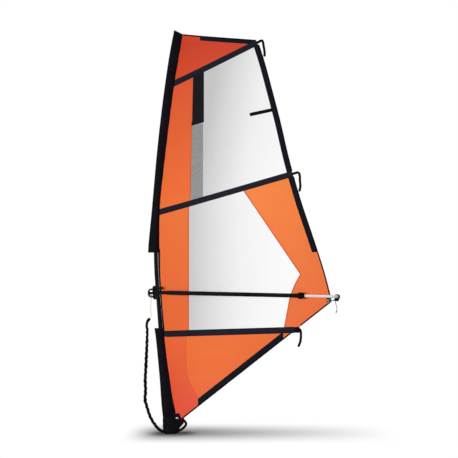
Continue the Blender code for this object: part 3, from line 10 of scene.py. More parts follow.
import bmesh
import bpy
import numpy as np
from mathutils import Matrix, Vector
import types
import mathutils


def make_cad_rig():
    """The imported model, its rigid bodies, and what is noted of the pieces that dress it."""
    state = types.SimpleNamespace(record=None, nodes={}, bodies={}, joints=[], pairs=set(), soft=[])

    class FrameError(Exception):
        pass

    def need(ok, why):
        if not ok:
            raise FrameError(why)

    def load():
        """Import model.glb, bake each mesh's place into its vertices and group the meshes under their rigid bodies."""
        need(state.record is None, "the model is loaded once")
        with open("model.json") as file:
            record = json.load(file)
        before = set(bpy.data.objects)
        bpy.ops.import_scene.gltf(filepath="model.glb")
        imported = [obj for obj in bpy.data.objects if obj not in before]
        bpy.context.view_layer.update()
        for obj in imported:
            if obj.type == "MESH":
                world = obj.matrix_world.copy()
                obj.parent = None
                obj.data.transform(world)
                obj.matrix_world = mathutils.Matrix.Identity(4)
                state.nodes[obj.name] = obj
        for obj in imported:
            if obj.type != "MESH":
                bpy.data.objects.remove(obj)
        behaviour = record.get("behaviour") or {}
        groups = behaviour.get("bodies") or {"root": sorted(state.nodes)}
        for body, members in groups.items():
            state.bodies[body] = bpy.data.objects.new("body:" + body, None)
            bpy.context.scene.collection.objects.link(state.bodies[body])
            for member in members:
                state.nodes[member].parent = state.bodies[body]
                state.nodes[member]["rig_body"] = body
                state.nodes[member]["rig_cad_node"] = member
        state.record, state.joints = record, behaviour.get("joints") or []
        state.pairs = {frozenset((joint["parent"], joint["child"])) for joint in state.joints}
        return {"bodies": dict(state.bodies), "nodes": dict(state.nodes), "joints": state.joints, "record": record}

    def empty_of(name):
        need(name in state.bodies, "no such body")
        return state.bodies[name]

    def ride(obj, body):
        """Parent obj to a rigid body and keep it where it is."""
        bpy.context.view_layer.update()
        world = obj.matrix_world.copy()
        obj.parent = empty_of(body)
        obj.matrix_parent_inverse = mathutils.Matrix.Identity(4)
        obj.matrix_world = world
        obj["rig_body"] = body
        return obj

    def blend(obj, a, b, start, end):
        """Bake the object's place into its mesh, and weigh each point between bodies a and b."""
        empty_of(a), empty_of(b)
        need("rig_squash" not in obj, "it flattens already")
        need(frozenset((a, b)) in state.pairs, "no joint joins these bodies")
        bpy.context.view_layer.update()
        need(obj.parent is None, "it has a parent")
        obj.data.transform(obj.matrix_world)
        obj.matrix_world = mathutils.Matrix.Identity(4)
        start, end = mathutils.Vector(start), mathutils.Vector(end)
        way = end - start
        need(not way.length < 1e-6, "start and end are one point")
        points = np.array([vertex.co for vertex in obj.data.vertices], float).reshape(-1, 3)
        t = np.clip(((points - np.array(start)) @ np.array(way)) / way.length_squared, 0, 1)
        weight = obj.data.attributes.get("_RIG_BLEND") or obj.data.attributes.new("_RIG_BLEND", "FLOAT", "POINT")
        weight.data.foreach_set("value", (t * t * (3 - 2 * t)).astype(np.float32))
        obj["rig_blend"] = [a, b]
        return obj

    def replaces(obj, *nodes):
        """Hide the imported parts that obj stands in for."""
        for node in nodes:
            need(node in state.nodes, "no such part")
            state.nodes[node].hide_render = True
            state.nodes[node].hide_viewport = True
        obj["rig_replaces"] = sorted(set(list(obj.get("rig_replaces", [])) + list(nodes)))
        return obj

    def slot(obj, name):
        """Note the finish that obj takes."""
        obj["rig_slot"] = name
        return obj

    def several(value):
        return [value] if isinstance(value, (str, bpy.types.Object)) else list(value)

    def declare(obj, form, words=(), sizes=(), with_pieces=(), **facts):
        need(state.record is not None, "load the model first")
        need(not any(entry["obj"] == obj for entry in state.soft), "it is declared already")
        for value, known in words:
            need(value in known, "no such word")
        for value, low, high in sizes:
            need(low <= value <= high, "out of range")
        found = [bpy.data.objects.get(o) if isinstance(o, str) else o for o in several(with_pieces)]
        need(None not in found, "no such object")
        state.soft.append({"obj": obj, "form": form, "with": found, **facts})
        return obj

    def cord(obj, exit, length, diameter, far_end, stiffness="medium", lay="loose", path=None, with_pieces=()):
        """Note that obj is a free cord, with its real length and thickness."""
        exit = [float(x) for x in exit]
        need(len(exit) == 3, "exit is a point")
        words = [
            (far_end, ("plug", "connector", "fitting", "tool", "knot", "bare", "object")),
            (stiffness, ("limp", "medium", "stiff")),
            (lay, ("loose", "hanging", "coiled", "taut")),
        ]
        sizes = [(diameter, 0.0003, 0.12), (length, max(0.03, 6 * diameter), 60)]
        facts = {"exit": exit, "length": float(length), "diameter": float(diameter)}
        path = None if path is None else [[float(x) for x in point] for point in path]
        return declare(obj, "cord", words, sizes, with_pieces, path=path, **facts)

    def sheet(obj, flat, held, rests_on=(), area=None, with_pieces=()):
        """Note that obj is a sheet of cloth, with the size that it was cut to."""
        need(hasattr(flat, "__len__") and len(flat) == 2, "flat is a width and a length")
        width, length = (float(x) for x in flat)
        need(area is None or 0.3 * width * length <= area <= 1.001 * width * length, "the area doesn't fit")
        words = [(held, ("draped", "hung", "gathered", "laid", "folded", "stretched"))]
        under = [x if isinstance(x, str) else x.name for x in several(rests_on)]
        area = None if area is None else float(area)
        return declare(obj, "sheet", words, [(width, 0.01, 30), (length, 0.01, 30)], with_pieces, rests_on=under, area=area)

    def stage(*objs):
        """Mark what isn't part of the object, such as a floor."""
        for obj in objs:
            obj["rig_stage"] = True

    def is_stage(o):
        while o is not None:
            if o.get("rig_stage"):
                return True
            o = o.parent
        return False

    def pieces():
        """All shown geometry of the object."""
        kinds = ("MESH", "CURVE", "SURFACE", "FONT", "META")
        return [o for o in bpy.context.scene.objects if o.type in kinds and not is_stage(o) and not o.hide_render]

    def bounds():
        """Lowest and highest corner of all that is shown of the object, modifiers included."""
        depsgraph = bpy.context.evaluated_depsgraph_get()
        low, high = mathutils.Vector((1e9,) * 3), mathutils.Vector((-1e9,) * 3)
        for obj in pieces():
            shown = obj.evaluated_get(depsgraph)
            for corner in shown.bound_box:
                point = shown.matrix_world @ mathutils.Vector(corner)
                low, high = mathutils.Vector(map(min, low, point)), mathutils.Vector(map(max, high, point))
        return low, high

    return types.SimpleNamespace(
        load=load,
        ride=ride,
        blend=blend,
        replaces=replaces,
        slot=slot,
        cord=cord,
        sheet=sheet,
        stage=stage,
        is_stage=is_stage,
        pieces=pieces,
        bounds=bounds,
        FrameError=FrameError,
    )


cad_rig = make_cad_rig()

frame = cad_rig.load()
solid_box = [list(corner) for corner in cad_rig.bounds()]


# Camera, backdrop and lamps. The rig stands on its foot on a wide white studio floor in a white
# room. A long lens looks square at the port side from the height of the boom.

AIM = Vector((0.5194, 0.0, 1.7544))
VIEW_WIDTH = 3.930
EYE = Vector((0.5194, -18.0, 1.2500))
FLOOR = solid_box[0][2] - 0.0005
FLOOR_REACH = 26.0
FLOOR_GREY, CONTACT_SHADOW_GREY, WHITE = (0.42, 0.42, 0.42), (0.13, 0.13, 0.13), (1.0, 1.0, 1.0, 1.0)
CONTACT_SHADOW_PLACE, CONTACT_SHADOW_REACH = (0.025, 0.06, FLOOR), (0.205, 0.36, 1.0)  # the painted contact shadow under the foot
# Reach of the painted shadow: inside it the grey floor shows, beyond it plain white
SHADOW_FORE, SHADOW_AFT, SHADOW_Y, SHADOW_SIDE = (-0.40, -0.06), (0.15, 1.95), 0.19, 1.40
ROOM_LIGHT = 0.24
LAMPS = {"lamp_over": ((0.40, 0.00, 5.40), (0.40, 0.0, 0.0), (2.2, 1.6), 34.0),
         "lamp_front": ((-2.60, -7.50, 1.30), (0.50, 0.0, 1.7), (3.2, 1.3), 510.0),
         "lamp_back": ((2.80, 5.80, 3.60), (0.50, 0.0, 1.5), (3.0, 3.0), 190.0)}  # place, aim, size, watts


def hang(name, data):
    """A new object in the scene, at the origin."""
    thing = bpy.data.objects.new(name, data)
    bpy.context.scene.collection.objects.link(thing)
    return thing


def aim_at(thing, place, aim):
    """Puts a camera or a lamp at a place, looking at another."""
    thing.location = place
    thing.rotation_euler = (Vector(place) - Vector(aim)).to_track_quat("Z", "Y").to_euler()


lens = bpy.data.cameras.new("camera")
lens.sensor_width = 36.0
lens.lens = lens.sensor_width * (EYE - AIM).length / VIEW_WIDTH
lens.clip_end = 200.0
camera = hang("camera", lens)
aim_at(camera, EYE, AIM)
bpy.context.scene.camera = camera
bpy.context.scene.view_settings.view_transform = "Standard"


def add_node(tree, kind, settings=None, **inputs):
    """A node with its settings and its inputs: by name, or by place as _0, _1 and so on. Each input is
    a value or a socket to wire in."""
    made = tree.nodes.new(kind)
    for key, value in (settings or {}).items():
        setattr(made, key, value)
    for key, value in inputs.items():
        socket = made.inputs[int(key[1:])] if key[0] == "_" else made.inputs[key.replace("_", " ")]
        if isinstance(value, bpy.types.NodeSocket):
            tree.links.new(value, socket)
        else:
            socket.default_value = value
    return made


def new_finish(name, colour, roughness, metallic=0.0, specular=0.5):
    """A material with one shader: its node tree, the shader and the texture coordinates."""
    look = bpy.data.materials.new(name)
    look.use_nodes = True
    tree = look.node_tree
    shader = tree.nodes["Principled BSDF"]
    shader.inputs["Base Color"].default_value = (*colour, 1.0)
    shader.inputs["Roughness"].default_value = roughness
    shader.inputs["Metallic"].default_value = metallic
    shader.inputs["Specular IOR Level"].default_value = specular
    return look, tree, shader, add_node(tree, "ShaderNodeTexCoord").outputs


def reckon(tree, operation, *values, clamp=False):
    """What one Math node makes of its values."""
    inputs = {"_%d" % place: value for place, value in enumerate(values)}
    settings = {"operation": operation, "use_clamp": clamp}
    return add_node(tree, "ShaderNodeMath", settings, **inputs).outputs["Value"]


def remap(tree, value, low, high, to_low=0.0, to_high=1.0, eased=False):
    """A value moved from one range to another, in a straight line or with eased ends."""
    settings = {"interpolation_type": "SMOOTHSTEP" if eased else "LINEAR"}
    return add_node(tree, "ShaderNodeMapRange", settings, Value=value, From_Min=low, From_Max=high,
                    To_Min=to_low, To_Max=to_high).outputs["Result"]


def mix_colour(tree, share, first, second, blend="MIX"):
    """A colour between two, each given as a colour or a socket."""
    first, second = (end if isinstance(end, bpy.types.NodeSocket) else (*end, 1.0) for end in (first, second))
    settings = {"data_type": "RGBA", "blend_type": blend}
    return add_node(tree, "ShaderNodeMix", settings, _0=share, _6=first, _7=second).outputs[2]


def axes_of(tree, vector):
    """The X, Y and Z of a vector."""
    return add_node(tree, "ShaderNodeSeparateXYZ", Vector=vector).outputs


def shows_studio(tree):
    """1 for rays that see the studio itself, straight or by way of film and gloss."""
    sight = add_node(tree, "ShaderNodeLightPath").outputs
    direct = reckon(tree, "MAXIMUM", sight["Is Camera Ray"], sight["Is Transmission Ray"])
    return reckon(tree, "MAXIMUM", direct, sight["Is Glossy Ray"])


wide_floor = bmesh.new()
bmesh.ops.create_grid(wide_floor, x_segments=8, y_segments=8, size=FLOOR_REACH)
bmesh.ops.translate(wide_floor, vec=(0.0, 0.0, FLOOR), verts=wide_floor.verts)
backdrop_mesh = bpy.data.meshes.new("backdrop")
wide_floor.to_mesh(backdrop_mesh)
wide_floor.free()
backdrop = hang("backdrop", backdrop_mesh)
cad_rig.stage(backdrop)

# The floor is painted grey in a soft patch round the rig, a painted shadow that deepens its real shadow there, and
# fades to plain white away from it
studio, tree, shader, places = new_finish("studio_white", FLOOR_GREY, 0.9, specular=0.0)
under = add_node(tree, "ShaderNodeMapping", {"vector_type": "TEXTURE"}, Vector=places["Object"],
                 Location=CONTACT_SHADOW_PLACE, Scale=CONTACT_SHADOW_REACH)
apart = add_node(tree, "ShaderNodeVectorMath", {"operation": "LENGTH"}, _0=under.outputs["Vector"])
# Painted contact shadow: the floor colour turns darker grey close under the foot
painted_contact_shadow = remap(tree, apart.outputs["Value"], 0.55, 1.35, eased=True)
tree.links.new(mix_colour(tree, painted_contact_shadow, CONTACT_SHADOW_GREY, FLOOR_GREY), shader.inputs["Base Color"])
axes = axes_of(tree, places["Object"])
# Painted shadow: 1 where the grey floor shows round the rig, 0 where the floor turns white
fore = remap(tree, axes["X"], *SHADOW_FORE, eased=True)
aft = remap(tree, axes["X"], *SHADOW_AFT, 1.0, 0.0)
aside = reckon(tree, "ABSOLUTE", reckon(tree, "SUBTRACT", axes["Y"], SHADOW_Y))
beside = remap(tree, aside, 0.0, SHADOW_SIDE, 1.0, 0.0, eased=True)
painted_shadow = reckon(tree, "MULTIPLY", reckon(tree, "MULTIPLY", fore, aft), beside)
white = reckon(tree, "MULTIPLY", reckon(tree, "SUBTRACT", 1.0, painted_shadow), shows_studio(tree))
glow = add_node(tree, "ShaderNodeEmission", Color=WHITE, Strength=1.0)
mixed = add_node(tree, "ShaderNodeMixShader", _0=white, _1=shader.outputs["BSDF"],
                 _2=glow.outputs["Emission"])
tree.links.new(mixed.outputs["Shader"], tree.nodes["Material Output"].inputs["Surface"])
backdrop_mesh.materials.append(studio)

studio_light = bpy.data.worlds.new("studio_light")
bpy.context.scene.world = studio_light
studio_light.use_nodes = True
tree = studio_light.node_tree
room = tree.nodes["Background"].inputs
room["Color"].default_value = WHITE
tree.links.new(remap(tree, shows_studio(tree), 0.0, 1.0, ROOM_LIGHT, 1.0), room["Strength"])

for name, (place, aim, size, power) in LAMPS.items():
    lamp = bpy.data.lights.new(name, "AREA")
    lamp.shape = "RECTANGLE"
    lamp.size, lamp.size_y = size
    lamp.energy = power
    aim_at(hang(name, lamp), place, aim)


# Uphaul: a stretchy rope in a puckered black cover, tied by a thin pale line to the boom head's
# bridge and led to the foot. Below the knot it hangs in a long bow before the mast.

UPHAUL_ROUTE = ((-0.160, 0.0, 0.989), (-0.184, 0.0, 0.950), (-0.181, 0.0, 0.886), (-0.183, 0.0, 0.800),
                (-0.186, 0.0, 0.714), (-0.190, 0.0, 0.628), (-0.194, 0.0, 0.542), (-0.198, 0.0, 0.456),
                (-0.195, 0.0, 0.370), (-0.198, 0.0, 0.284), (-0.186, 0.0, 0.241), (-0.173, 0.0, 0.198),
                (-0.156, 0.0, 0.150), (-0.134, 0.0, 0.108), (-0.104, 0.0, 0.066), (-0.078, 0.0, 0.038),
                (-0.0548, 0.0, 0.0245), (-0.0400, 0.0, 0.0180))
UPHAUL_RADIUS = 0.01175
PUCKER_PITCH, PUCKER_DEPTH = 0.023, 0.0014
PUCKERS_END = 1.02  # how far the puckers run down the cover
SWING = 0.0016  # how far the cover wanders from its rope
UPHAUL_KNOTS = ((0.973, 0.8), (0.872, 0.6), (0.790, 0.9), (0.655, 0.5), (0.583, 0.9), (0.445, 0.7),
                (0.352, 0.4), (0.288, 0.9))  # height, and share of the full swell
KNOT_SWELL, KNOT_LENGTH = 0.0028, 0.010
UPHAUL_LINE_RADIUS = 0.0020
BRIDGE_SILL = Vector((-0.1483, 0.0, 1.1827))  # where the thin line rests in the boom head's lower window
BRIDGE_SIDE = 0.0173
STOPPER = ((-0.0012, 0.0030), (0.0015, 0.0062), (0.0035, 0.0056), (0.0058, 0.0072), (0.0080, 0.0060),
           (0.0105, 0.0050), (0.0125, 0.0022))  # the knot's radius at a distance from the bridge
WELD = 0.00001


def through(knots):
    """A smooth curve value(t) through (t, value) pairs."""
    pairs = np.array(sorted(knots), float)
    at, value = pairs[:, 0], pairs[:, 1]
    slope = np.gradient(value, at)

    def curve(t):
        i = int(np.clip(np.searchsorted(at, t) - 1, 0, len(at) - 2))
        width = at[i + 1] - at[i]
        s = float(np.clip((t - at[i]) / width, 0.0, 1.0))
        return float((1 + 2 * s) * (1 - s) ** 2 * value[i] + s * (1 - s) ** 2 * width * slope[i]
                     + s * s * (3 - 2 * s) * value[i + 1] + s * s * (s - 1) * width * slope[i + 1])

    return curve


def smooth_path(route, count):
    """Evenly spaced points on one smooth curve through the route's own points."""
    route = np.array(route, float)
    along = np.concatenate([[0.0], np.cumsum(np.linalg.norm(np.diff(route, axis=0), axis=1))])
    curves = [through(list(zip(along, route[:, axis]))) for axis in range(3)]
    return [Vector([curve(t) for curve in curves]) for t in np.linspace(0.0, along[-1], count)]


def line_length(points):
    return sum((Vector(b) - Vector(a)).length for a, b in zip(points, points[1:]))


def dress(data, look):
    """Gives a mesh or a curve its only finish."""
    data.materials.clear()
    data.materials.append(look)


def in_scene(name, data, look, slot, body, *nodes, bend=None):
    """The finished piece in the scene, on its body, standing for its CAD nodes. A bend is a second
    body and the two points between which the piece bends from its body to that one."""
    piece = hang(name, data)
    dress(data, look)
    if bend:
        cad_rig.blend(piece, body, *bend)
    else:
        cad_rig.ride(piece, body)
    if nodes:
        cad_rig.replaces(piece, *nodes)
    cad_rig.slot(piece, slot)
    return piece


def line_curve(name, points, radius, radii=None, sides=16):
    """A round line along the points, as a curve of one open spline."""
    data = bpy.data.curves.new(name, "CURVE")
    data.dimensions = "3D"
    data.bevel_depth = radius
    data.bevel_resolution = (sides - 4) // 2
    data.use_fill_caps = True
    spline = data.splines.new("POLY")
    spline.points.add(len(points) - 1)
    for index, (knot, point) in enumerate(zip(spline.points, points)):
        knot.co = (*point, 1.0)
        knot.radius = radii[index] / radius if radii else 1.0
    spline.use_smooth = True
    return data


def close_mesh(shape, name, sharp=35.0):
    """The finished shape as a mesh, shaded smooth except over edges sharper than the limit."""
    limit = math.radians(sharp)
    for face in shape.faces:
        face.smooth = True
    for edge in shape.edges:
        edge.smooth = len(edge.link_faces) == 2 and edge.calc_face_angle(0.0) < limit
    mesh = bpy.data.meshes.new(name)
    shape.to_mesh(mesh)
    shape.free()
    return mesh


def tube_mesh(name, points, radius, radii=None, sides=16):
    """A round line made a mesh, with its caps welded and its flat ends kept sharp."""
    holder = hang("making", line_curve(name, points, radius, radii, sides))
    bpy.context.view_layer.update()
    graph = bpy.context.evaluated_depsgraph_get()
    rough = bpy.data.meshes.new_from_object(holder.evaluated_get(graph))
    shape = bmesh.new()
    shape.from_mesh(rough)
    bpy.data.objects.remove(holder)
    bpy.data.meshes.remove(rough)
    bmesh.ops.remove_doubles(shape, verts=shape.verts, dist=WELD)
    bmesh.ops.recalc_face_normals(shape, faces=shape.faces)
    return close_mesh(shape, name)


def effect_group(name, inputs, *outputs):
    """A node group that reads a vector and named numbers, and puts out named numbers."""
    group = bpy.data.node_groups.new(name, "ShaderNodeTree")
    group.interface.new_socket("Vector", in_out="INPUT", socket_type="NodeSocketVector")
    for label, default in inputs.items():
        socket = group.interface.new_socket(label, in_out="INPUT", socket_type="NodeSocketFloat")
        socket.default_value = default
    for label in outputs:
        group.interface.new_socket(label, in_out="OUTPUT", socket_type="NodeSocketFloat")
    return group, group.nodes.new("NodeGroupInput").outputs, group.nodes.new("NodeGroupOutput").inputs


def noise(tree, where, scale, detail=2.0, **more):
    """Cloudy noise of a scale, between 0 and 1."""
    made = add_node(tree, "ShaderNodeTexNoise", Vector=where, Scale=scale, Detail=detail, **more)
    return made.outputs["Fac"]


def drawn_out(tree, where, scale, lean=0.0):
    """Coordinates that lean about Y and are scaled, so that a pattern on them runs in streaks."""
    turn = (0.0, math.radians(lean), 0.0)
    return add_node(tree, "ShaderNodeMapping", Vector=where, Rotation=turn, Scale=scale).outputs["Vector"]


def wave(tree, value, length, turn):
    """A sine that makes a turn, in radians, over a length."""
    return reckon(tree, "SINE", reckon(tree, "MULTIPLY", reckon(tree, "DIVIDE", value, length), turn))


def crossing(tree, first, second):
    """Two waves laid over each other: 1 on the crowns and 0 in the hollows."""
    return remap(tree, reckon(tree, "MULTIPLY", first, second), -1.0, 1.0)


# Braid: crossing strands that wind round a line, from the object's own coordinates
braid_group, given, result = effect_group("braid", {"Strand": 0.003}, "Height")
axes = axes_of(braid_group, given["Vector"])
across = reckon(braid_group, "ADD", axes["X"], axes["Y"])
strands = [wave(braid_group, reckon(braid_group, lean, axes["Z"], across), given["Strand"], math.tau)
           for lean in ("ADD", "SUBTRACT")]
braid_group.links.new(crossing(braid_group, *strands), result["Height"])

# Dust and age: soft blotches over a finish
blotch_group, given, result = effect_group("blotches", {"Size": 0.05, "Low": 0.0, "High": 1.0}, "Mask")
fine = reckon(blotch_group, "DIVIDE", 1.0, given["Size"])
cloud = noise(blotch_group, given["Vector"], fine, 4.0, Roughness=0.55)
blotch_group.links.new(remap(blotch_group, cloud, 0.32, 0.68, given["Low"], given["High"]), result["Mask"])


def use_group(tree, group, **inputs):
    return add_node(tree, "ShaderNodeGroup", {"node_tree": group}, **inputs).outputs


def blotches(tree, where, size, low=0.0, high=1.0):
    return use_group(tree, blotch_group, Vector=where, Size=size, Low=low, High=high)["Mask"]


def relief(tree, shader, *heights):
    """Bump from (height socket, depth in metres) pairs, one over the other."""
    normal = None
    for height, depth in heights:
        bump = add_node(tree, "ShaderNodeBump", Height=height, Distance=depth, Strength=1.0)
        if normal:
            tree.links.new(normal, bump.inputs["Normal"])
        normal = bump.outputs["Normal"]
    tree.links.new(normal, shader.inputs["Normal"])


def lay_on(tree, shader, colour, wear, rough, *heights):
    """A finish over a piece: its colour, its roughness between two values by a mask, and its relief."""
    tree.links.new(colour, shader.inputs["Base Color"])
    tree.links.new(remap(tree, wear, 0.0, 1.0, *rough), shader.inputs["Roughness"])
    relief(tree, shader, *heights)


def line_finish(name, dark, light, strand):
    """A braided line: paler on the strands' crowns, matt, with a little dust."""
    look, tree, shader, places = new_finish(name, dark, 0.85, specular=0.04)
    braid = use_group(tree, braid_group, Vector=places["Object"], Strand=strand)["Height"]
    dust = blotches(tree, places["Object"], 0.02, 0.75)
    tone = mix_colour(tree, reckon(tree, "MULTIPLY", braid, dust), dark, light)
    lay_on(tree, shader, tone, dust, (0.92, 0.78), (braid, strand * 0.25))
    return look


uphaul_cover = line_finish("uphaul_cover", (0.0010, 0.0010, 0.0014), (0.0052, 0.0050, 0.0062), 0.0042)
pale_line = line_finish("pale_line", (0.33, 0.33, 0.32), (0.70, 0.70, 0.68), 0.0016)
grey_line = line_finish("grey_line", (0.007, 0.007, 0.009), (0.032, 0.032, 0.036), 0.0014)

core = smooth_path(UPHAUL_ROUTE, 220)
reach = 0.0
rope, radii = [], []
for index, point in enumerate(core):
    reach += (point - core[index - 1]).length if index else 0.0
    ends = max(0.0, min(1.0, reach / 0.05, (PUCKERS_END - reach) / 0.06))
    turn = math.tau * reach / (PUCKER_PITCH * 2.0)
    swing = SWING * ends
    rope.append(point + Vector((swing * math.sin(turn), swing * 0.8 * math.cos(turn), 0.0)))
    swell = max(size * math.exp(-((point.z - knot) / KNOT_LENGTH) ** 2) for knot, size in UPHAUL_KNOTS)
    pucker = math.sin(math.tau * reach / PUCKER_PITCH) * (0.75 + 0.25 * math.sin(reach * 37.0))
    slim = 0.0020 * min(1.0, max(0.0, (point.z - 0.700) / 0.150))
    radii.append(UPHAUL_RADIUS + 0.0012 - slim + KNOT_SWELL * swell
                 + PUCKER_DEPTH * pucker * ends * (1.0 - 0.7 * swell))
give = ("boom_head", rope[-1], (rope[-1].x, 0.0, 0.975))  # stretches as the boom moves on the mast
rope_piece = in_scene("uphaul", tube_mesh("uphaul", rope, UPHAUL_RADIUS, radii, 20), uphaul_cover,
                      "black_webbing", "rig", "uphaul_rope", bend=give)
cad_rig.cord(rope_piece, exit=rope[0], length=line_length(rope), diameter=2 * UPHAUL_RADIUS, far_end="object",
        stiffness="medium", lay="hanging", path=rope)

top, down = core[0], (core[4] - core[0]).normalized()
thin = [BRIDGE_SILL + Vector(step) for step in (
    (0.0, BRIDGE_SIDE - 0.0015, 0.0), (0.0, 0.0, 0.0), (0.0, -BRIDGE_SIDE, 0.0),
    (0.0, -BRIDGE_SIDE - 0.0025, -0.0060), (0.0010, -BRIDGE_SIDE - 0.0010, -0.0300))]
thin += [Vector((top.x + 0.008, -0.010, 1.060)), top - down * 0.0140, top - down * 0.0008]
thin = smooth_path(thin, 90)
thin_piece = in_scene("uphaul_tie", tube_mesh("uphaul_tie", thin, UPHAUL_LINE_RADIUS, sides=12), pale_line,
                      "pale_line", "rig", "uphaul_line", bend=give)
stopper = [BRIDGE_SILL + Vector((0.0, BRIDGE_SIDE + out, 0.0)) for out, _ in STOPPER]
stopper = line_curve("uphaul_tie_knot", stopper, 0.0070, [radius for _, radius in STOPPER])
stopper_piece = in_scene("uphaul_tie_knot", stopper, pale_line, "pale_line", "boom_head")
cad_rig.cord(thin_piece, exit=thin[0], length=line_length(thin), diameter=2 * UPHAUL_LINE_RADIUS,
        far_end="object", stiffness="limp", lay="taut", path=thin, with_pieces=[stopper_piece])


# Outhaul: the cut end of the line that trims the sail's rear corner hangs from the boom's tail,
# with a figure-of-eight knot against running out.

OUTHAUL_TAIL_ROUTE = ((1.4318, -0.0080, 1.1347), (1.4325, -0.0082, 1.1240), (1.4390, -0.0090, 1.0980),
                      (1.4440, -0.0095, 1.0740), (1.4415, -0.0095, 1.0500), (1.4355, -0.0090, 1.0340))
ROPE_RADIUS = 0.0018
TAIL_KNOT = ((0.0017, 50, 3.0), (0.0015, 56, 2.0))  # swell, and its place and width in steps of the path

tail_line = smooth_path(OUTHAUL_TAIL_ROUTE, 60)
radii = [ROPE_RADIUS + 0.0006 + sum(swell * math.exp(-((i - knot) / width) ** 2)
                                    for swell, knot, width in TAIL_KNOT) for i in range(60)]
black_line = line_finish("black_line", (0.0012, 0.0012, 0.0016), (0.0080, 0.0080, 0.0095), 0.0014)
tail_line_piece = in_scene("outhaul_end", line_curve("outhaul_end", tail_line, ROPE_RADIUS, radii, 12),
                           black_line, "grey_line", "boom_tail", "outhaul_tail")
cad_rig.cord(tail_line_piece, exit=tail_line[0], length=line_length(tail_line), diameter=2 * ROPE_RADIUS,
        far_end="knot", stiffness="limp", lay="hanging")


# Mast: two tapering tubes of glass and carbon fibre, joined inside the sleeve, with a plastic cap
# at the tip. Only the stretch round the boom shows.

MAST_TIP = 3.430
MAST_JOINT = 1.720
MAST_RAKE = 0.075
BEND_START = 1.342
BEND_GAIN = 0.0985
BEND_POWER = 1.6
MAST_FOOT_RADIUS = 0.0188
MAST_TIP_RADIUS = 0.0125
MAST_FOOT = 0.0943


def mast_x(z):
    return -MAST_RAKE * z + BEND_GAIN * max(0.0, z - BEND_START) ** BEND_POWER


def mast_radius(z):
    return MAST_FOOT_RADIUS - (MAST_FOOT_RADIUS - MAST_TIP_RADIUS) * (max(0.0, z) / MAST_TIP) ** 1.5


laminate, tree, shader, places = new_finish("mast_laminate", (0.010, 0.010, 0.014), 0.50, specular=0.03)
fibres = noise(tree, drawn_out(tree, places["Object"], (1.0, 1.0, 0.12), 38.0), 520.0)
tone = mix_colour(tree, fibres, (0.0020, 0.0021, 0.0055), (0.0070, 0.0072, 0.0160))
lay_on(tree, shader, tone, blotches(tree, places["Object"], 0.05), (0.46, 0.60), (fibres, 0.00008))

for name, low, high in (("mast_lower", MAST_FOOT, MAST_JOINT), ("mast_upper", MAST_JOINT + 0.001, MAST_TIP)):
    heights = np.linspace(low, high, 60)
    tube = tube_mesh(name, [(mast_x(z), 0.0, z) for z in heights], MAST_FOOT_RADIUS,
                     [mast_radius(z) for z in heights], 32)
    in_scene(name, tube, laminate, "glass_fibre", "rig", name + "_section")


# Mast sleeves: black cloth sewn into a pocket that the mast slides up, open at the boom. The ends
# are hemmed, and the cloth is drawn tight over the mast and creased behind it.

UPPER_SLEEVE = (1.552, 3.466)
LOWER_SLEEVE = (0.100, 0.905)

# How far the noses reach before the mast's axis at each height, and how far the luff lies behind it
UPPER_NOSE = ((1.552, 0.0665), (1.62, 0.0628), (1.70, 0.0562), (1.80, 0.0480), (1.90, 0.0415), (2.00, 0.0367),
              (2.20, 0.0312), (2.40, 0.0288), (2.60, 0.0274), (3.00, 0.0268), (3.30, 0.0260), (3.47, 0.0210))
LOWER_NOSE = ((0.10, 0.0345), (0.16, 0.0365), (0.22, 0.0392), (0.30, 0.0397), (0.45, 0.0388), (0.60, 0.0410),
              (0.70, 0.0430), (0.80, 0.0458), (0.905, 0.0512))
LUFF_GAP = ((0.12, 0.0620), (0.20, 0.0616), (0.30, 0.0586), (0.45, 0.0494), (0.60, 0.0385), (0.75, 0.0310),
            (0.905, 0.0270), (1.00, 0.0242), (1.15, 0.0240), (1.30, 0.0245), (1.45, 0.0278), (1.552, 0.0310),
            (1.70, 0.0298), (1.85, 0.0288), (2.00, 0.0295), (2.10, 0.0335), (2.20, 0.0385), (2.40, 0.0452),
            (2.60, 0.0502), (2.80, 0.0523), (3.00, 0.0535), (3.20, 0.0575), (3.43, 0.0600))
SLEEVES = {"upper": (UPPER_SLEEVE, UPPER_NOSE, -0.44, 0.185),
           "lower": (LOWER_SLEEVE, LOWER_NOSE, 0.0, 0.215)}  # span, nose, slope of the top end, way round
SLEEVE_WALL = 0.0010
HEM, HEM_FOLD = 0.026, 0.0007
CUT_REACH = 0.15  # how far below its top end a sleeve begins to take the end's slope
NOSE_SHARE = 0.42  # part of the way round that the round nose takes
luff_gap = through(LUFF_GAP)

# Cloth: fine crossing threads with small creases
cloth_group, given, result = effect_group("cloth", {"Thread": 0.0012, "Crease": 0.05}, "Weave", "Creases")
axes = axes_of(cloth_group, given["Vector"])
around = reckon(cloth_group, "ADD", axes["X"], axes["Y"])
threads = [wave(cloth_group, way, given["Thread"], math.pi) for way in (around, axes["Z"])]
cloth_group.links.new(crossing(cloth_group, *threads), result["Weave"])
drawn = drawn_out(cloth_group, given["Vector"], (0.35, 1.0, 1.0), 24.0)
coarse = reckon(cloth_group, "DIVIDE", 1.0, given["Crease"])
creases = noise(cloth_group, drawn, coarse, 3.0, Distortion=0.4)
cloth_group.links.new(creases, result["Creases"])


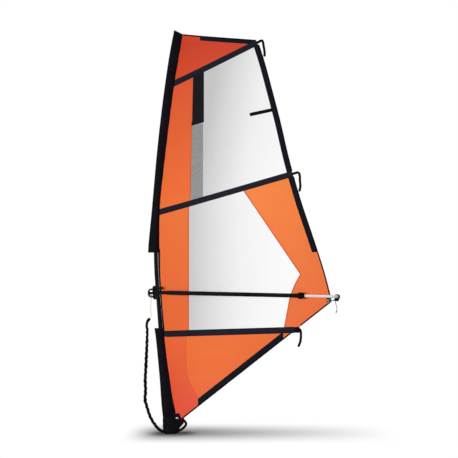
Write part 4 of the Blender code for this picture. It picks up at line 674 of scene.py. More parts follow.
def cloth_finish(name, dark, light, thread=0.0012, crease=0.05, depth=0.0016, rough=(0.62, 0.80), sheen=0.01):
    """Woven cloth: threads paler on their crowns, soft creases, and a matt nap."""
    look, tree, shader, places = new_finish(name, dark, rough[1], specular=0.04)
    cloth = use_group(tree, cloth_group, Vector=places["Object"], Thread=thread, Crease=crease)
    dust = blotches(tree, places["Object"], 0.12, 0.35)
    tone = mix_colour(tree, reckon(tree, "MULTIPLY", cloth["Weave"], dust), dark, light)
    lay_on(tree, shader, tone, dust, rough[::-1], (cloth["Creases"], depth), (cloth["Weave"], thread * 0.12))
    shader.inputs["Sheen Weight"].default_value = sheen
    return look


sleeve_cloth = cloth_finish("sleeve_cloth", (0.0016, 0.0012, 0.0024), (0.0060, 0.0048, 0.0082))


def sleeve_section(z, share, side, span, nose, tilt):
    """A point of the teardrop section at a height: a round nose before the mast, a wedge behind."""
    hem = HEM_FOLD if min(z - span[0], span[1] - z) < HEM else 0.0
    half = mast_radius(z) + SLEEVE_WALL + 0.0006 + hem
    front = nose(z) + hem
    if share < NOSE_SHARE:
        angle = share / NOSE_SHARE * math.pi / 2
        x, y = -front * math.cos(angle), half * math.sin(angle)
    else:
        back = (share - NOSE_SHARE) / (1.0 - NOSE_SHARE)
        x = (luff_gap(z) + 0.0006) * back
        y = max(half * max(0.0, 1 - back ** 1.8) ** 0.9, 0.0018 * min(1.0, (1.0 - back) / 0.04))
        y += (0.0009 * math.sin(math.pi * back) * math.sin(z * 41.0 + 6.0 * back + side)
              * math.sin(z * 17.0 + side * 2))
    height = z + tilt * (x + front)
    return Vector((mast_x(height) + x, -side * y, height))


def grow(shape, edges):
    """Extrudes a row of edges and gives the new row's points and edges."""
    grown = bmesh.ops.extrude_edge_only(shape, edges=edges)["geom"]
    return ([g for g in grown if isinstance(g, bmesh.types.BMVert)],
            [g for g in grown if isinstance(g, bmesh.types.BMEdge)])


def sock(name, count, levels, place):
    """An open skin of rings, each of count points that place(level, way round) gives."""
    shape = bmesh.new()
    around = shape.verts.layers.int.new("around")
    ring = bmesh.ops.create_circle(shape, segments=count, radius=1.0)["verts"]
    for index, vert in enumerate(ring):
        vert[around] = index
    edges = list(shape.edges)
    for index, level in enumerate(levels):
        if index:
            ring, edges = grow(shape, edges)
        for vert in ring:
            vert.co = place(level, math.tau * vert[around] / count)
    bmesh.ops.recalc_face_normals(shape, faces=shape.faces)
    return close_mesh(shape, name, 60.0)


def thicken(piece, thickness, offset=0.0):
    wall = piece.modifiers.new("wall", "SOLIDIFY")
    wall.thickness = thickness
    wall.offset = offset


def build_sleeve(which, span, nose_knots, head_cut, way_round):
    nose = through(nose_knots)
    start, end = span
    hems = [start + HEM - 0.001, start + HEM + 0.001, end - HEM - 0.001, end - HEM + 0.001]
    heights = np.sort(np.concatenate([np.linspace(start, end, round((end - start) / 0.014)), hems]))

    def place(z, turn):
        side = 1.0 if turn <= math.pi else -1.0
        share = turn / math.pi if turn <= math.pi else 2.0 - turn / math.pi
        tilt = head_cut * max(0.0, (z - end + CUT_REACH) / CUT_REACH)
        return sleeve_section(z, share, side, span, nose, tilt)

    sleeve = in_scene("sleeve_" + which, sock("sleeve_" + which, 56, heights, place), sleeve_cloth,
                      "black_cloth", "rig", "luff_sleeve_" + which)
    thicken(sleeve, SLEEVE_WALL, -1.0)
    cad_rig.sheet(sleeve, flat=(way_round, end - start), held="stretched", rests_on=["mast_lower", "mast_upper"])


for which, sizes in SLEEVES.items():
    build_sleeve(which, *sizes)


# Sail panels: orange coated cloth and clear film, cut to shape and sewn edge to edge, with a belly
# that is deepest a third of the way aft and light creases running into the rear corner.

HEAD_HEIGHT, HEAD_SLOPE = 3.4414, -0.0790
FOOT_HEIGHT, FOOT_SLOPE = 0.0316, 0.785

# The leech and the upper luff seam as (height, x). The clew and layer seams as (x, height), with None
# where they meet a batten pocket
LEECH = ((1.100, 1.4120), (1.400, 1.3340), (1.660, 1.2506), (2.004, 1.1363),
         (2.348, 1.0394), (2.692, 0.9590), (2.950, 0.8920), (3.208, 0.8220), (3.374, 0.7690))
UPPER_SEAM = ((3.080, 0.2055), (2.004, 0.1840))
LOWER_SEAM = 0.171  # upright, at this x
CLEW_SEAM = ((0.647, None), (1.134, 1.367), (1.087, 1.281), (1.044, 1.170), (0.995, None))
LAYER_SEAM = ((0.146, None), (0.146, 0.60), (0.151, 0.53), (0.170, 0.465), (0.195, 0.410), (0.222, 0.362),
              (0.246, 0.318), (0.250, 0.298))

CAMBER, FLAT_BELOW = 0.025, 0.180
LEECH_BAND_WIDTH, LEECH_BAND_END = 0.051, 1.556
HEAD_BAND_WIDTH, HEAD_BAND_START = 0.041, 0.270
FOOT_BAND_WIDTH, FOOT_BAND_START, FOOT_BAND_END = 0.0555, 0.253, 0.984
CLEW_EYELET, TACK_EYELET = (1.378, 1.143), (0.0765, 0.1345)
BATTENS = {"top": (2.983, 0.493, 0.048, 0.757), "middle": (1.922, 0.2876, 0.050, 1.062),
           "bottom": (0.8553, 0.0314, 0.054, 1.078)}  # height at x = 0, slope, pocket width, pocket end
BAND_THICKNESS, FILM_THICKNESS, PRINT_THICKNESS = 0.0014, 0.0005, 0.0009
PANEL_THICKNESS, FOOT_LAYER_THICKNESS, HEAD_LAYER_THICKNESS = 0.0008, 0.0024, 0.0022
PATCH_CORNER = (0.021, 0.027)  # how far the clew patch reaches before and above the ring's middle
PATCH_TOE, PATCH_LOW = 1.3930, 1.1262  # x on the foot and height on its fore edge where the patch ends
BLACK_PRINT_LOW, GREY_PRINT_HIGH = (2.640, 2.675), (2.637, 2.668)  # at the seam and at the aft edge
CELL = 0.030
TUCK = 0.0030  # how far a panel runs under a pocket or sleeve that is sewn over it
leech = through(LEECH)


def luff(z):
    return mast_x(z) + luff_gap(z) - 0.0006


def foot(x):
    return FOOT_HEIGHT + FOOT_SLOPE * x


def head(x):
    return HEAD_HEIGHT + HEAD_SLOPE * x


def foot_band_edge(x):
    return foot(x) + FOOT_BAND_WIDTH * math.hypot(1.0, FOOT_SLOPE)


def head_band_edge(x):
    return head(x) - HEAD_BAND_WIDTH


def leech_band_edge(z):
    return leech(z) - LEECH_BAND_WIDTH * math.hypot(1.0, (leech(z - 0.01) - leech(z + 0.01)) / 0.02)


def sail_y(x, z):
    """Depth of the sail to leeward of its plane: the curve is 4/27 high at a third of the chord, and
    27/4 makes that the camber."""
    soft = 0.08
    rear = -soft * math.log(math.exp(-leech(z) / soft) + math.exp(-(z - FOOT_HEIGHT) / FOOT_SLOPE / soft))
    chord = max(0.05, rear - luff(z))
    share = min(1.0, max(0.0, (x - luff(z)) / chord))
    rise = min(1.0, max(0.0, (z - FLAT_BELOW) / 0.150))
    return CAMBER * chord * 6.75 * share * (1.0 - share) ** 2 * rise * rise * (3.0 - 2.0 * rise)


def crease(x, z):
    """Light creases that fan out of the clew and the tack, and others that run aft from the luff."""
    lift = 0.0005 * math.sin(38.0 * (z + 0.35 * x)) * math.exp(-max(0.0, x - luff(z)) / 0.09)
    for corner, folds, depth, reach in ((CLEW_EYELET, 15.0, 0.0011, 0.24), (TACK_EYELET, 17.0, 0.0009, 0.30)):
        away = math.hypot(x - corner[0], z - corner[1])
        fan = math.atan2(z - corner[1], x - corner[0])
        clear_of_ring = min(1.0, max(0.0, (away - 0.06) / 0.12))
        lift += depth * math.sin(folds * fan) * math.exp(-away / reach) * clear_of_ring
    return lift


def batten_edge(which, side):
    """The pocket's upper (+1) or lower (-1) edge, with the panel tucked under, or its centre line (0)."""
    height, slope, width, _ = BATTENS[which]
    lift = side * (width / 2 - TUCK) * math.hypot(1.0, slope)
    return lambda x: height + slope * x + lift


def meet_side(line, side):
    z = line(0.5)
    for _ in range(40):
        z = line(side(z))
    return side(z), z


def meet_line(first, second):
    a, b = first(1.0) - first(0.0), second(1.0) - second(0.0)
    x = (second(0.0) - first(0.0)) / (a - b)
    return x, first(x)


def side_points(side, low, high):
    count = max(1, round(abs(high - low) / 0.05))
    return [(side(z), z) for z in np.linspace(low, high, count + 1)[1:-1]]


def polygon_area(outline):
    return abs(sum(a[0] * b[1] - b[0] * a[1] for a, b in zip(outline, outline[1:] + outline[:1]))) / 2


def face_port(shape):
    """Turns a sheet so that its faces look to port."""
    if sum(face.normal.y * face.calc_area() for face in shape.faces) > 0:
        bmesh.ops.reverse_faces(shape, faces=shape.faces)


def cut_panel(name, outline, thickness, look, slot, *nodes, flat=None, cell=CELL, lift=0.0):
    """A panel from its cut outline, in the side view, laid on the sail's curved surface."""
    shape = bmesh.new()
    shape.faces.new([shape.verts.new((x, 0.0, z)) for x, z in outline])
    xs, zs = [x for x, _ in outline], [z for _, z in outline]
    for axis, low, high in ((0, min(xs), max(xs)), (2, min(zs), max(zs))):
        normal = [0.0, 0.0, 0.0]
        normal[axis] = 1.0
        for step in range(math.floor(low / cell) + 1, math.ceil(high / cell)):
            bmesh.ops.bisect_plane(shape, geom=shape.verts[:] + shape.edges[:] + shape.faces[:], dist=0.0005,
                                   plane_co=[step * cell * n for n in normal], plane_no=normal)
    bmesh.ops.triangulate(shape, faces=[face for face in shape.faces if len(face.verts) > 4])
    for vert in shape.verts:
        vert.co.y = sail_y(vert.co.x, vert.co.z) + crease(vert.co.x, vert.co.z) + lift
    face_port(shape)
    piece = in_scene(name, close_mesh(shape, name, 60.0), look, slot, "rig", *nodes)
    thicken(piece, thickness)
    if flat:
        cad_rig.sheet(piece, flat=flat, held="stretched", rests_on=["sleeve_upper", "sleeve_lower"])
    else:
        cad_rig.sheet(piece, flat=(max(xs) - min(xs), max(zs) - min(zs)), area=polygon_area(outline),
                 held="stretched", rests_on=["sleeve_upper", "sleeve_lower"])


def paint(*shown):
    """A linear colour from the red, green and blue that a screen shows, of 255."""
    levels = (level / 255 for level in shown)
    return tuple(level / 12.92 if level <= 0.04045 else ((level + 0.055) / 1.055) ** 2.4 for level in levels)


# Scrim: straight reinforcing yarns laid crosswise in a panel
scrim_group, given, result = effect_group("scrim", {"Spacing": 0.012, "Yarn": 0.08}, "Yarns")
axes = axes_of(scrim_group, given["Vector"])
yarns = []
for lean_x, lean_z in ((0.26, 0.966), (0.966, -0.26)):
    run = reckon(scrim_group, "ADD", reckon(scrim_group, "MULTIPLY", axes["X"], lean_x),
                 reckon(scrim_group, "MULTIPLY", axes["Z"], lean_z))
    near = reckon(scrim_group, "PINGPONG", reckon(scrim_group, "DIVIDE", run, given["Spacing"]), 0.5)
    yarns.append(remap(scrim_group, near, given["Yarn"], 0.0, eased=True))
scrim_group.links.new(reckon(scrim_group, "MAXIMUM", *yarns), result["Yarns"])


def sailcloth(name, low, high, colour_low, colour_high):
    """Coated orange cloth whose tone shifts between two heights, with a scrim showing through. Where the
    tone darkens towards the head on the upper panels, the shift is painted shade over the cloth's own tone.
    """
    look, tree, shader, places = new_finish(name, colour_low, 0.5, specular=0.2)
    where = places["Object"]
    rise = remap(tree, axes_of(tree, where)["Z"], low, high)
    yarns = use_group(tree, scrim_group, Vector=where, Spacing=0.014, Yarn=0.07)["Yarns"]
    cloth = use_group(tree, cloth_group, Vector=where, Thread=0.0010, Crease=0.09)
    tone = mix_colour(tree, rise, colour_low, colour_high)
    tone = mix_colour(tree, blotches(tree, where, 0.30, 0.0, 0.06), tone, (0.55, 0.45, 0.45), "MULTIPLY")
    tone = mix_colour(tree, reckon(tree, "MULTIPLY", yarns, 0.10), tone, (0.45, 0.35, 0.35), "MULTIPLY")
    lay_on(tree, shader, tone, cloth["Creases"], (0.42, 0.60), (cloth["Creases"], 0.0012), (yarns, 0.00010),
           (cloth["Weave"], 0.00006))
    return look


# The head and upper luff cloths darken towards the head: painted shade, over the panels' own tones
head_cloth = sailcloth("orange_head", 3.05, 3.42, paint(216, 73, 33), paint(199, 57, 28))
luff_cloth_high = sailcloth("orange_luff_high", 1.95, 3.05, paint(240, 111, 47), paint(223, 84, 41))
luff_cloth_low = sailcloth("orange_luff_low", 0.90, 1.92, paint(236, 103, 46), paint(237, 114, 51))
clew_cloth = sailcloth("orange_clew", 0.92, 2.15, paint(245, 113, 58), paint(251, 134, 58))
foot_cloth = sailcloth("orange_foot", 0.15, 0.86, paint(234, 97, 38), paint(240, 112, 43))
foot_layer_cloth = sailcloth("orange_foot_layer", 0.15, 0.86, paint(228, 73, 43), paint(236, 101, 47))
head_layer_cloth = sailcloth("orange_head_layer", 3.30, 3.42, paint(206, 62, 31), paint(209, 64, 33))
band_cloth = cloth_finish("band_cloth", (0.0045, 0.0045, 0.0095), (0.0095, 0.0095, 0.0175), 0.0016, 0.08,
                          0.0008, (0.55, 0.75), 0.01)


def film_finish(name, slant, seam_x, clear_x, grey, clear):
    """Clear film painted greyer towards the luff, a painted shade for the dimmer side of the room that it shows there.
    Grey and clear are each a colour and an alpha."""
    look, tree, shader, places = new_finish(name, (0.8, 0.8, 0.8), 0.1, specular=0.2)
    where = places["Object"]
    axes = axes_of(tree, where)
    share = remap(tree, reckon(tree, "MULTIPLY_ADD", axes["Z"], -slant, axes["X"]), seam_x, clear_x)
    # Painted shade: the film runs from grey by the luff to clear aft, with faint streaks over it
    bent = add_node(tree, "ShaderNodeValToRGB", Fac=share)
    bent.color_ramp.elements.new(0.55).color = (0.70, 0.70, 0.70, 1.0)
    streaks = noise(tree, drawn_out(tree, where, (1.0, 1.0, 0.015)), 90.0)
    jitter = remap(tree, streaks, 0.0, 1.0, -0.03, 0.03)
    mask = reckon(tree, "ADD", bent.outputs["Color"], jitter, clamp=True)
    lay_on(tree, shader, mix_colour(tree, mask, grey[0], clear[0]), blotches(tree, where, 0.18), (0.08, 0.20),
           (streaks, 0.0002))
    tree.links.new(remap(tree, mask, 0.0, 1.0, grey[1], clear[1]), shader.inputs["Alpha"])
    return look


# Each window's grey end is painted shade by the luff; its clear end is the film itself
CLEAR = ((0.92, 0.92, 0.92), 0.145)
upper_film = film_finish("film_upper", 0.16, -0.098, 0.660, ((0.31, 0.31, 0.32), 0.374), CLEAR)
lower_film = film_finish("film_lower", 0.0, 0.200, 0.957, ((0.35, 0.35, 0.36), 0.342), CLEAR)

top_up, top_down, mid_up, mid_down, low_up, low_down = (
    batten_edge(which, side) for which in BATTENS for side in (1, -1))


def upper_seam(z):
    (high_z, high_x), (low_z, low_x) = UPPER_SEAM
    return low_x + (high_x - low_x) / (high_z - low_z) * (z - low_z)


def side_run(side, start, end):
    """The points along a side of the sail from one corner to another, with both corners."""
    return [start] + side_points(side, start[1], end[1]) + [end]


# Head panel and the band along the head
start, nose_point, tip = meet_side(top_up, luff), meet_line(top_up, head_band_edge), meet_line(top_up, head)
head_corner = (luff(3.43), head(luff(3.43)))
step_low = (HEAD_BAND_START, head_band_edge(HEAD_BAND_START))
step_high = (HEAD_BAND_START, head(HEAD_BAND_START))
outline = [start, nose_point, step_low, step_high, head_corner] + side_points(luff, head_corner[1], start[1])
cut_panel("panel_head", outline, PANEL_THICKNESS, head_cloth, "orange_cloth", "head_panel")
cut_panel("band_head", [step_low, nose_point, tip, step_high], BAND_THICKNESS, band_cloth, "black_webbing",
          "head_band")

# Panels between the top and middle battens
luff_low, seam_low = meet_side(mid_up, luff), meet_side(mid_up, upper_seam)
seam_high, luff_high = meet_side(top_down, upper_seam), meet_side(top_down, luff)
outline = [luff_low, seam_low, seam_high, luff_high] + side_points(luff, luff_high[1], luff_low[1])
cut_panel("panel_luff_upper", outline, PANEL_THICKNESS, luff_cloth_high, "orange_cloth", "luff_panel_upper")
band_low, band_high = meet_side(mid_up, leech_band_edge), meet_side(top_down, leech_band_edge)
outline = [seam_low] + side_run(leech_band_edge, band_low, band_high) + [seam_high]
cut_panel("window_upper", outline, FILM_THICKNESS, upper_film, "clear_film", "upper_window")
leech_low, leech_high = meet_side(mid_up, leech), meet_side(top_down, leech)
band_top, leech_top = meet_side(mid_down, leech_band_edge), meet_side(mid_down, leech)
leech_end = (leech(LEECH_BAND_END), LEECH_BAND_END)
band_end = (leech_band_edge(LEECH_BAND_END), LEECH_BAND_END)
for which, fore_low, aft_low, aft_high, fore_high in (
        ("upper", band_low, leech_low, leech_high, band_high),
        ("lower", band_end, leech_end, leech_top, band_top)):
    rear = side_run(leech, aft_low, aft_high)
    outline = [fore_low] + rear + [fore_high] + side_points(leech_band_edge, fore_high[1], fore_low[1])
    cut_panel("band_leech_" + which, outline, BAND_THICKNESS, band_cloth, "black_webbing",
              "leech_band_" + which, flat=(LEECH_BAND_WIDTH, line_length([Vector((*p, 0.0)) for p in rear])))

# Panels between the middle and bottom battens
luff_low, luff_high = meet_side(low_up, luff), meet_side(mid_down, luff)
seam_low, seam_high = (LOWER_SEAM, low_up(LOWER_SEAM)), (LOWER_SEAM, mid_down(LOWER_SEAM))
outline = [luff_low, seam_low, seam_high, luff_high] + side_points(luff, luff_high[1], luff_low[1])
cut_panel("panel_luff_lower", outline, PANEL_THICKNESS, luff_cloth_low, "orange_cloth", "luff_panel_lower")
seam = list(CLEW_SEAM)
seam[0] = (seam[0][0], mid_down(seam[0][0]))
seam[-1] = (seam[-1][0], low_up(seam[-1][0]))
cut_panel("window_lower", [seam_low] + seam[::-1] + [seam_high], FILM_THICKNESS, lower_film, "clear_film",
          "lower_window")

patch_x, patch_z = CLEW_EYELET[0] - PATCH_CORNER[0], CLEW_EYELET[1] + PATCH_CORNER[1]
clew_x = meet_side(foot, leech)[0] - 0.004
patch_low, patch_high = (patch_x, PATCH_LOW), (leech(patch_z), patch_z)
outline = seam + [meet_line(low_up, foot), (PATCH_TOE, foot(PATCH_TOE))]
outline += [patch_low, (patch_x, patch_z), patch_high]
outline += side_points(leech, patch_z, LEECH_BAND_END) + [leech_end]
outline += side_run(leech_band_edge, band_end, band_top)
cut_panel("panel_clew", outline, PANEL_THICKNESS, clew_cloth, "orange_cloth", "clew_panel")

# Foot panel, the band along the foot, and the second layers by the luff at the foot and the head
tack_top, tack_aft = TACK_EYELET[1] + 0.037, 0.1215
luff_high, luff_low = meet_side(low_down, luff), (luff(tack_top), tack_top)
tack_corner = (tack_aft, foot(tack_aft))
band = [(FOOT_BAND_START, foot(FOOT_BAND_START)), (FOOT_BAND_START, foot_band_edge(FOOT_BAND_START)),
        (FOOT_BAND_END, foot_band_edge(FOOT_BAND_END)), (FOOT_BAND_END, foot(FOOT_BAND_END))]
outline = side_run(luff, luff_high, luff_low) + [tack_corner] + band + [meet_line(low_down, foot)]
cut_panel("panel_foot", outline, PANEL_THICKNESS, foot_cloth, "orange_cloth", "foot_panel")
cut_panel("band_foot", band, BAND_THICKNESS, band_cloth, "black_webbing", "foot_band",
          flat=(FOOT_BAND_WIDTH, (FOOT_BAND_END - FOOT_BAND_START) * math.hypot(1.0, FOOT_SLOPE)))
layer_seam = [(LAYER_SEAM[0][0], low_down(LAYER_SEAM[0][0]))] + list(LAYER_SEAM[1:])
layer_end = layer_seam[-1][0]
outline = layer_seam + [(layer_end, foot(layer_end)), tack_corner] + side_run(luff, luff_low, luff_high)
cut_panel("panel_foot_layer", outline, FOOT_LAYER_THICKNESS, foot_layer_cloth, "orange_cloth")
layer_x, layer_z = 0.262, 3.360
outline = [(luff(layer_z), layer_z), (layer_x, layer_z), (layer_x, head(layer_x)), head_corner]
outline += side_points(luff, head_corner[1], layer_z)
cut_panel("panel_head_layer", outline, HEAD_LAYER_THICKNESS, head_layer_cloth, "orange_cloth")

# Plain printed strips by the luff seam: a black one under the top batten and a grey one below it
black_print = cloth_finish("black_print", (0.006, 0.006, 0.008), (0.010, 0.010, 0.013), 0.0016, 0.08, 0.0006,
                           (0.4, 0.55), 0.0)
grey_print, tree, shader, places = new_finish("grey_print", paint(150, 150, 150), 0.4)
mottle = blotches(tree, places["Object"], 0.010)
tone = mix_colour(tree, mottle, paint(124, 124, 126), paint(145, 145, 147))
tree.links.new(tone, shader.inputs["Base Color"])
shader.inputs["Alpha"].default_value = 0.92
black_x, grey_x = 0.304, 0.296
low, aft_low = BLACK_PRINT_LOW
outline = [(upper_seam(low), low), (black_x, aft_low), (black_x, top_down(black_x)),
           meet_side(top_down, upper_seam)]
cut_panel("print_black", outline, PRINT_THICKNESS, black_print, "black_webbing")
high, aft_high = GREY_PRINT_HIGH
outline = [meet_side(mid_up, upper_seam), (grey_x, mid_up(grey_x)), (grey_x, aft_high),
           (upper_seam(high), high)]
cut_panel("print_grey", outline, PRINT_THICKNESS, grey_print, "clear_film")


# Tapes: a black tape is folded over the sail's free edges, and a narrow strip of cloth is sewn over
# each seam with two rows of zigzag stitches.

STITCH = 0.0045
TAPE_WIDTH, FOLD, BAND_FOLD = 0.0124, 0.0032, 0.0022
SEAM_WIDTH, SEAM_WALL, LAYER_SEAM_WALL = 0.0100, 0.0012, 0.0018

# Stitch rows across a tape, from its UV map: u runs along in metres, v across from 0 to 1
stitch_group, given, result = effect_group("stitches", {"Stitch": STITCH, "Row": 0.25}, "Mask")
axes = axes_of(stitch_group, given["Vector"])
from_edge = reckon(stitch_group, "PINGPONG", axes["Y"], 0.5)
zigzag = reckon(stitch_group, "PINGPONG", reckon(stitch_group, "DIVIDE", axes["X"], given["Stitch"]), 0.5)
row = reckon(stitch_group, "MULTIPLY_ADD", zigzag, 0.16, given["Row"])
off = reckon(stitch_group, "ABSOLUTE", reckon(stitch_group, "SUBTRACT", from_edge, row))
stitch_group.links.new(remap(stitch_group, off, 0.05, 0.015, eased=True), result["Mask"])


def tape_finish(name, dark, light, thread_colour, rough=0.7):
    """A sewn tape: ribbed cloth with two rows of stitches along it."""
    look, tree, shader, places = new_finish(name, dark, rough, specular=0.04)
    stitches = use_group(tree, stitch_group, Vector=places["UV"], Stitch=STITCH, Row=0.14)["Mask"]
    cloth = use_group(tree, cloth_group, Vector=places["Object"], Thread=0.0011, Crease=0.04)
    tone = mix_colour(tree, stitches, mix_colour(tree, cloth["Weave"], dark, light), thread_colour)
    tree.links.new(tone, shader.inputs["Base Color"])
    relief(tree, shader, (cloth["Creases"], 0.0005), (stitches, 0.0003))
    return look


edge_tape = tape_finish("edge_tape", (0.0010, 0.0009, 0.0014), (0.0034, 0.0031, 0.0046),
                        (0.012, 0.012, 0.014))
orange_tape = tape_finish("seam_tape_orange", paint(214, 92, 50), paint(226, 102, 54), paint(196, 78, 44),
                          0.5)
soft_tape = tape_finish("seam_tape_soft", paint(222, 88, 46), paint(230, 96, 50), paint(214, 84, 44), 0.5)


def sew_tape(name, line, width, thickness, look, slot):
    """A tape along a line of (x, z) points on the sail. Its width is a number or a function of z."""
    wide = width if callable(width) else lambda z: width
    fine = []
    for (x0, z0), (x1, z1) in zip(line, line[1:]):
        count = max(1, round(math.hypot(x1 - x0, z1 - z0) / 0.02))
        fine += [(x0 + (x1 - x0) * s / count, z0 + (z1 - z0) * s / count) for s in range(count)]
    fine.append(line[-1])
    shape = bmesh.new()
    uv = shape.loops.layers.uv.new("UVMap")
    spot = shape.verts.layers.float_vector.new("spot")
    run, edges = 0.0, []
    for index, (x, z) in enumerate(fine):
        before, after = fine[max(0, index - 1)], fine[min(len(fine) - 1, index + 1)]
        ahead = Vector((after[0] - before[0], after[1] - before[1])).normalized()
        out = Vector((-ahead.y, ahead.x)) * wide(z) / 2
        if index:
            run += math.hypot(x - fine[index - 1][0], z - fine[index - 1][1])
            pair, edges = grow(shape, edges)
        else:
            pair = [shape.verts.new(), shape.verts.new()]
            edges = [shape.edges.new(pair)]
            pair[0][spot] = (0.0, 1.0, 0.0)
        for vert in pair:
            across = vert[spot].y
            side = 1.0 if across > 0.5 else -1.0
            corner = (x + side * out.x, z + side * out.y)
            vert.co = (corner[0], sail_y(*corner) + crease(*corner), corner[1])
            vert[spot] = (run, across, 0.0)
    for face in shape.faces:
        for loop in face.loops:
            loop[uv].uv = loop.vert[spot].xy
    face_port(shape)
    piece = in_scene(name, close_mesh(shape, name, 60.0), look, slot, "rig")
    thicken(piece, thickness)
    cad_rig.sheet(piece, flat=(wide(line[len(line) // 2][1]), run), held="stretched",
             rests_on=["panel_head", "panel_clew", "panel_foot"])


half = TAPE_WIDTH / 2
rise = half * math.hypot(1.0, FOOT_SLOPE)


def by_leech(low, high, count):
    return [(leech(z) - half, z) for z in np.linspace(low, high, count)]


def by_foot(*xs):
    return [(x, foot(x) + rise) for x in xs]


def by_head(*xs):
    return [(x, head(x) - half) for x in xs]


luff_tape = [((mast_x(z) + 0.0183 + luff(z) + 0.0071) / 2, z)
             for z in np.linspace(LOWER_SLEEVE[1] - 0.030, UPPER_SLEEVE[0] + 0.030, 34)]
aft_of_foot = [meet_line(edge, foot)[0] for edge in (low_down, low_up)]
for name, line, width, thickness in (
        ("tape_leech", by_leech(LEECH_BAND_END - 0.002, 1.176, 12), TAPE_WIDTH, FOLD),
        ("tape_luff", luff_tape, lambda z: luff(z) - mast_x(z) - 0.0112, BAND_FOLD),
        ("tape_foot_fore", by_foot(tack_aft + 0.004, 0.200, FOOT_BAND_START), TAPE_WIDTH, FOLD),
        ("tape_foot_middle", by_foot(FOOT_BAND_END, aft_of_foot[0] - 0.004), TAPE_WIDTH, FOLD),
        ("tape_foot_aft", by_foot(aft_of_foot[1] + 0.008, 1.25, 1.3915), TAPE_WIDTH, FOLD),
        ("tape_head", by_head(head_corner[0] + 0.004, HEAD_BAND_START), TAPE_WIDTH, FOLD),
        ("tape_leech_band", by_leech(leech_high[1] - 0.002, leech_low[1] + 0.002, 30), TAPE_WIDTH, BAND_FOLD),
        ("tape_leech_band_low", by_leech(leech_top[1] - 0.002, leech_end[1] + 0.002, 20), TAPE_WIDTH,
         BAND_FOLD),
        ("tape_foot_band", by_foot(FOOT_BAND_START, FOOT_BAND_END), TAPE_WIDTH, BAND_FOLD),
        ("tape_head_band", by_head(HEAD_BAND_START, tip[0] - 0.008), TAPE_WIDTH, BAND_FOLD)):
    sew_tape(name, line, width, thickness, edge_tape, "black_webbing")
for name, line, thickness, look in (
        ("seam_luff_upper", [(upper_seam(z), z) for z in (2.68, top_down(0.2))], SEAM_WALL, orange_tape),
        ("seam_luff_upper_low", [(upper_seam(z), z) for z in (2.640, mid_up(0.19))], SEAM_WALL, orange_tape),
        ("seam_luff_lower", [seam_high, seam_low], SEAM_WALL, orange_tape),
        ("seam_clew", seam, SEAM_WALL, orange_tape),
        ("seam_foot_layer", layer_seam, LAYER_SEAM_WALL, soft_tape)):
    sew_tape(name, line, SEAM_WIDTH, thickness, look, "orange_cloth")


# Corner patches and eyelets: layers of black webbing at the clew and the tack, each with a pressed
# stainless ring for its line.

PATCH_THICKNESS, PATCH_CELL = 0.0036, 0.012
EYELET_WALL, EYELET_FLANGE, FLANGE_THICKNESS = 0.0020, 0.0035, 0.0020
EYELETS = {"clew_eyelet": (CLEW_EYELET, 0.0080), "tack_eyelet": (TACK_EYELET, 0.0055)}  # place and bore
FLAP_OUTLINE = ((0.0480, 0.1225), (0.0480, 0.0560), (0.0930, 0.0495), (0.1295, 0.0855), (0.1360, 0.1060),
                (0.1345, 0.1430), (0.1225, 0.1400), (0.1100, 0.1335), (0.1030, 0.1270))
FLAP_SIDE, FLAP_THICKNESS = 0.0085, 0.0012
GUSSET_TOP, GUSSET_FOOT, GUSSET_PLACE, GUSSET_THICKNESS = 0.430, 0.174, 0.301, 0.0030

webbing = cloth_finish("webbing", (0.0012, 0.0012, 0.0018), (0.0058, 0.0055, 0.0074), 0.0019, 0.03, 0.0006,
                       (0.6, 0.82), 0.0)
outline = [patch_low, (clew_x, foot(clew_x)), patch_high, (patch_x, patch_z)]
cut_panel("patch_clew", outline, PATCH_THICKNESS, webbing, "black_webbing", "clew_patch", cell=PATCH_CELL)
x, z = TACK_EYELET
outline = [(luff(z) - 0.003, tack_top + 0.004), (luff(z) - 0.003, z - 0.012), (x + 0.010, z - 0.014),
           (x + 0.038, z - 0.012), (0.1150, 0.1300), (0.1084, 0.1376), (0.0972, 0.1677), (0.0929, 0.1789),
           (0.0654, 0.1740)]
cut_panel("patch_tack", outline, PATCH_THICKNESS, webbing, "black_webbing", "tack_patch", cell=PATCH_CELL)
for side, lift in (("port", -FLAP_SIDE), ("starboard", FLAP_SIDE)):
    cut_panel("tack_flap_" + side, list(FLAP_OUTLINE), FLAP_THICKNESS, webbing, "black_webbing",
              cell=PATCH_CELL, lift=lift)


def gusset_middle(z):
    fore, aft = 0.0233 + 0.133 * (GUSSET_PLACE - z), 0.0378 + 0.214 * (GUSSET_PLACE - z)
    return (fore + aft) / 2


sew_tape("tack_gusset", [(gusset_middle(z), z) for z in np.linspace(GUSSET_TOP, GUSSET_FOOT, 12)],
         lambda z: 0.0145 + 0.081 * (GUSSET_PLACE - z), GUSSET_THICKNESS, webbing, "black_webbing")

steel, tree, shader, places = new_finish("pressed_steel", (0.40, 0.40, 0.40), 0.28, 1.0)
scratches = noise(tree, drawn_out(tree, places["Object"], (1.0, 0.2, 1.0)), 900.0, 3.0)
tone = mix_colour(tree, scratches, (0.13, 0.13, 0.14), (0.34, 0.34, 0.34))
lay_on(tree, shader, tone, scratches, (0.20, 0.38), (scratches, 0.00003))


def spin_profile(points, axis, steps):
    """A solid turned from a closed profile about an axis through the origin."""
    shape = bmesh.new()
    verts = [shape.verts.new(point) for point in points]
    edges = [shape.edges.new(pair) for pair in zip(verts, verts[1:] + verts[:1])]
    bmesh.ops.spin(shape, geom=verts + edges, cent=(0.0, 0.0, 0.0), axis=axis, angle=math.tau, steps=steps,
                   use_merge=True)
    bmesh.ops.remove_doubles(shape, verts=shape.verts, dist=WELD)
    return shape


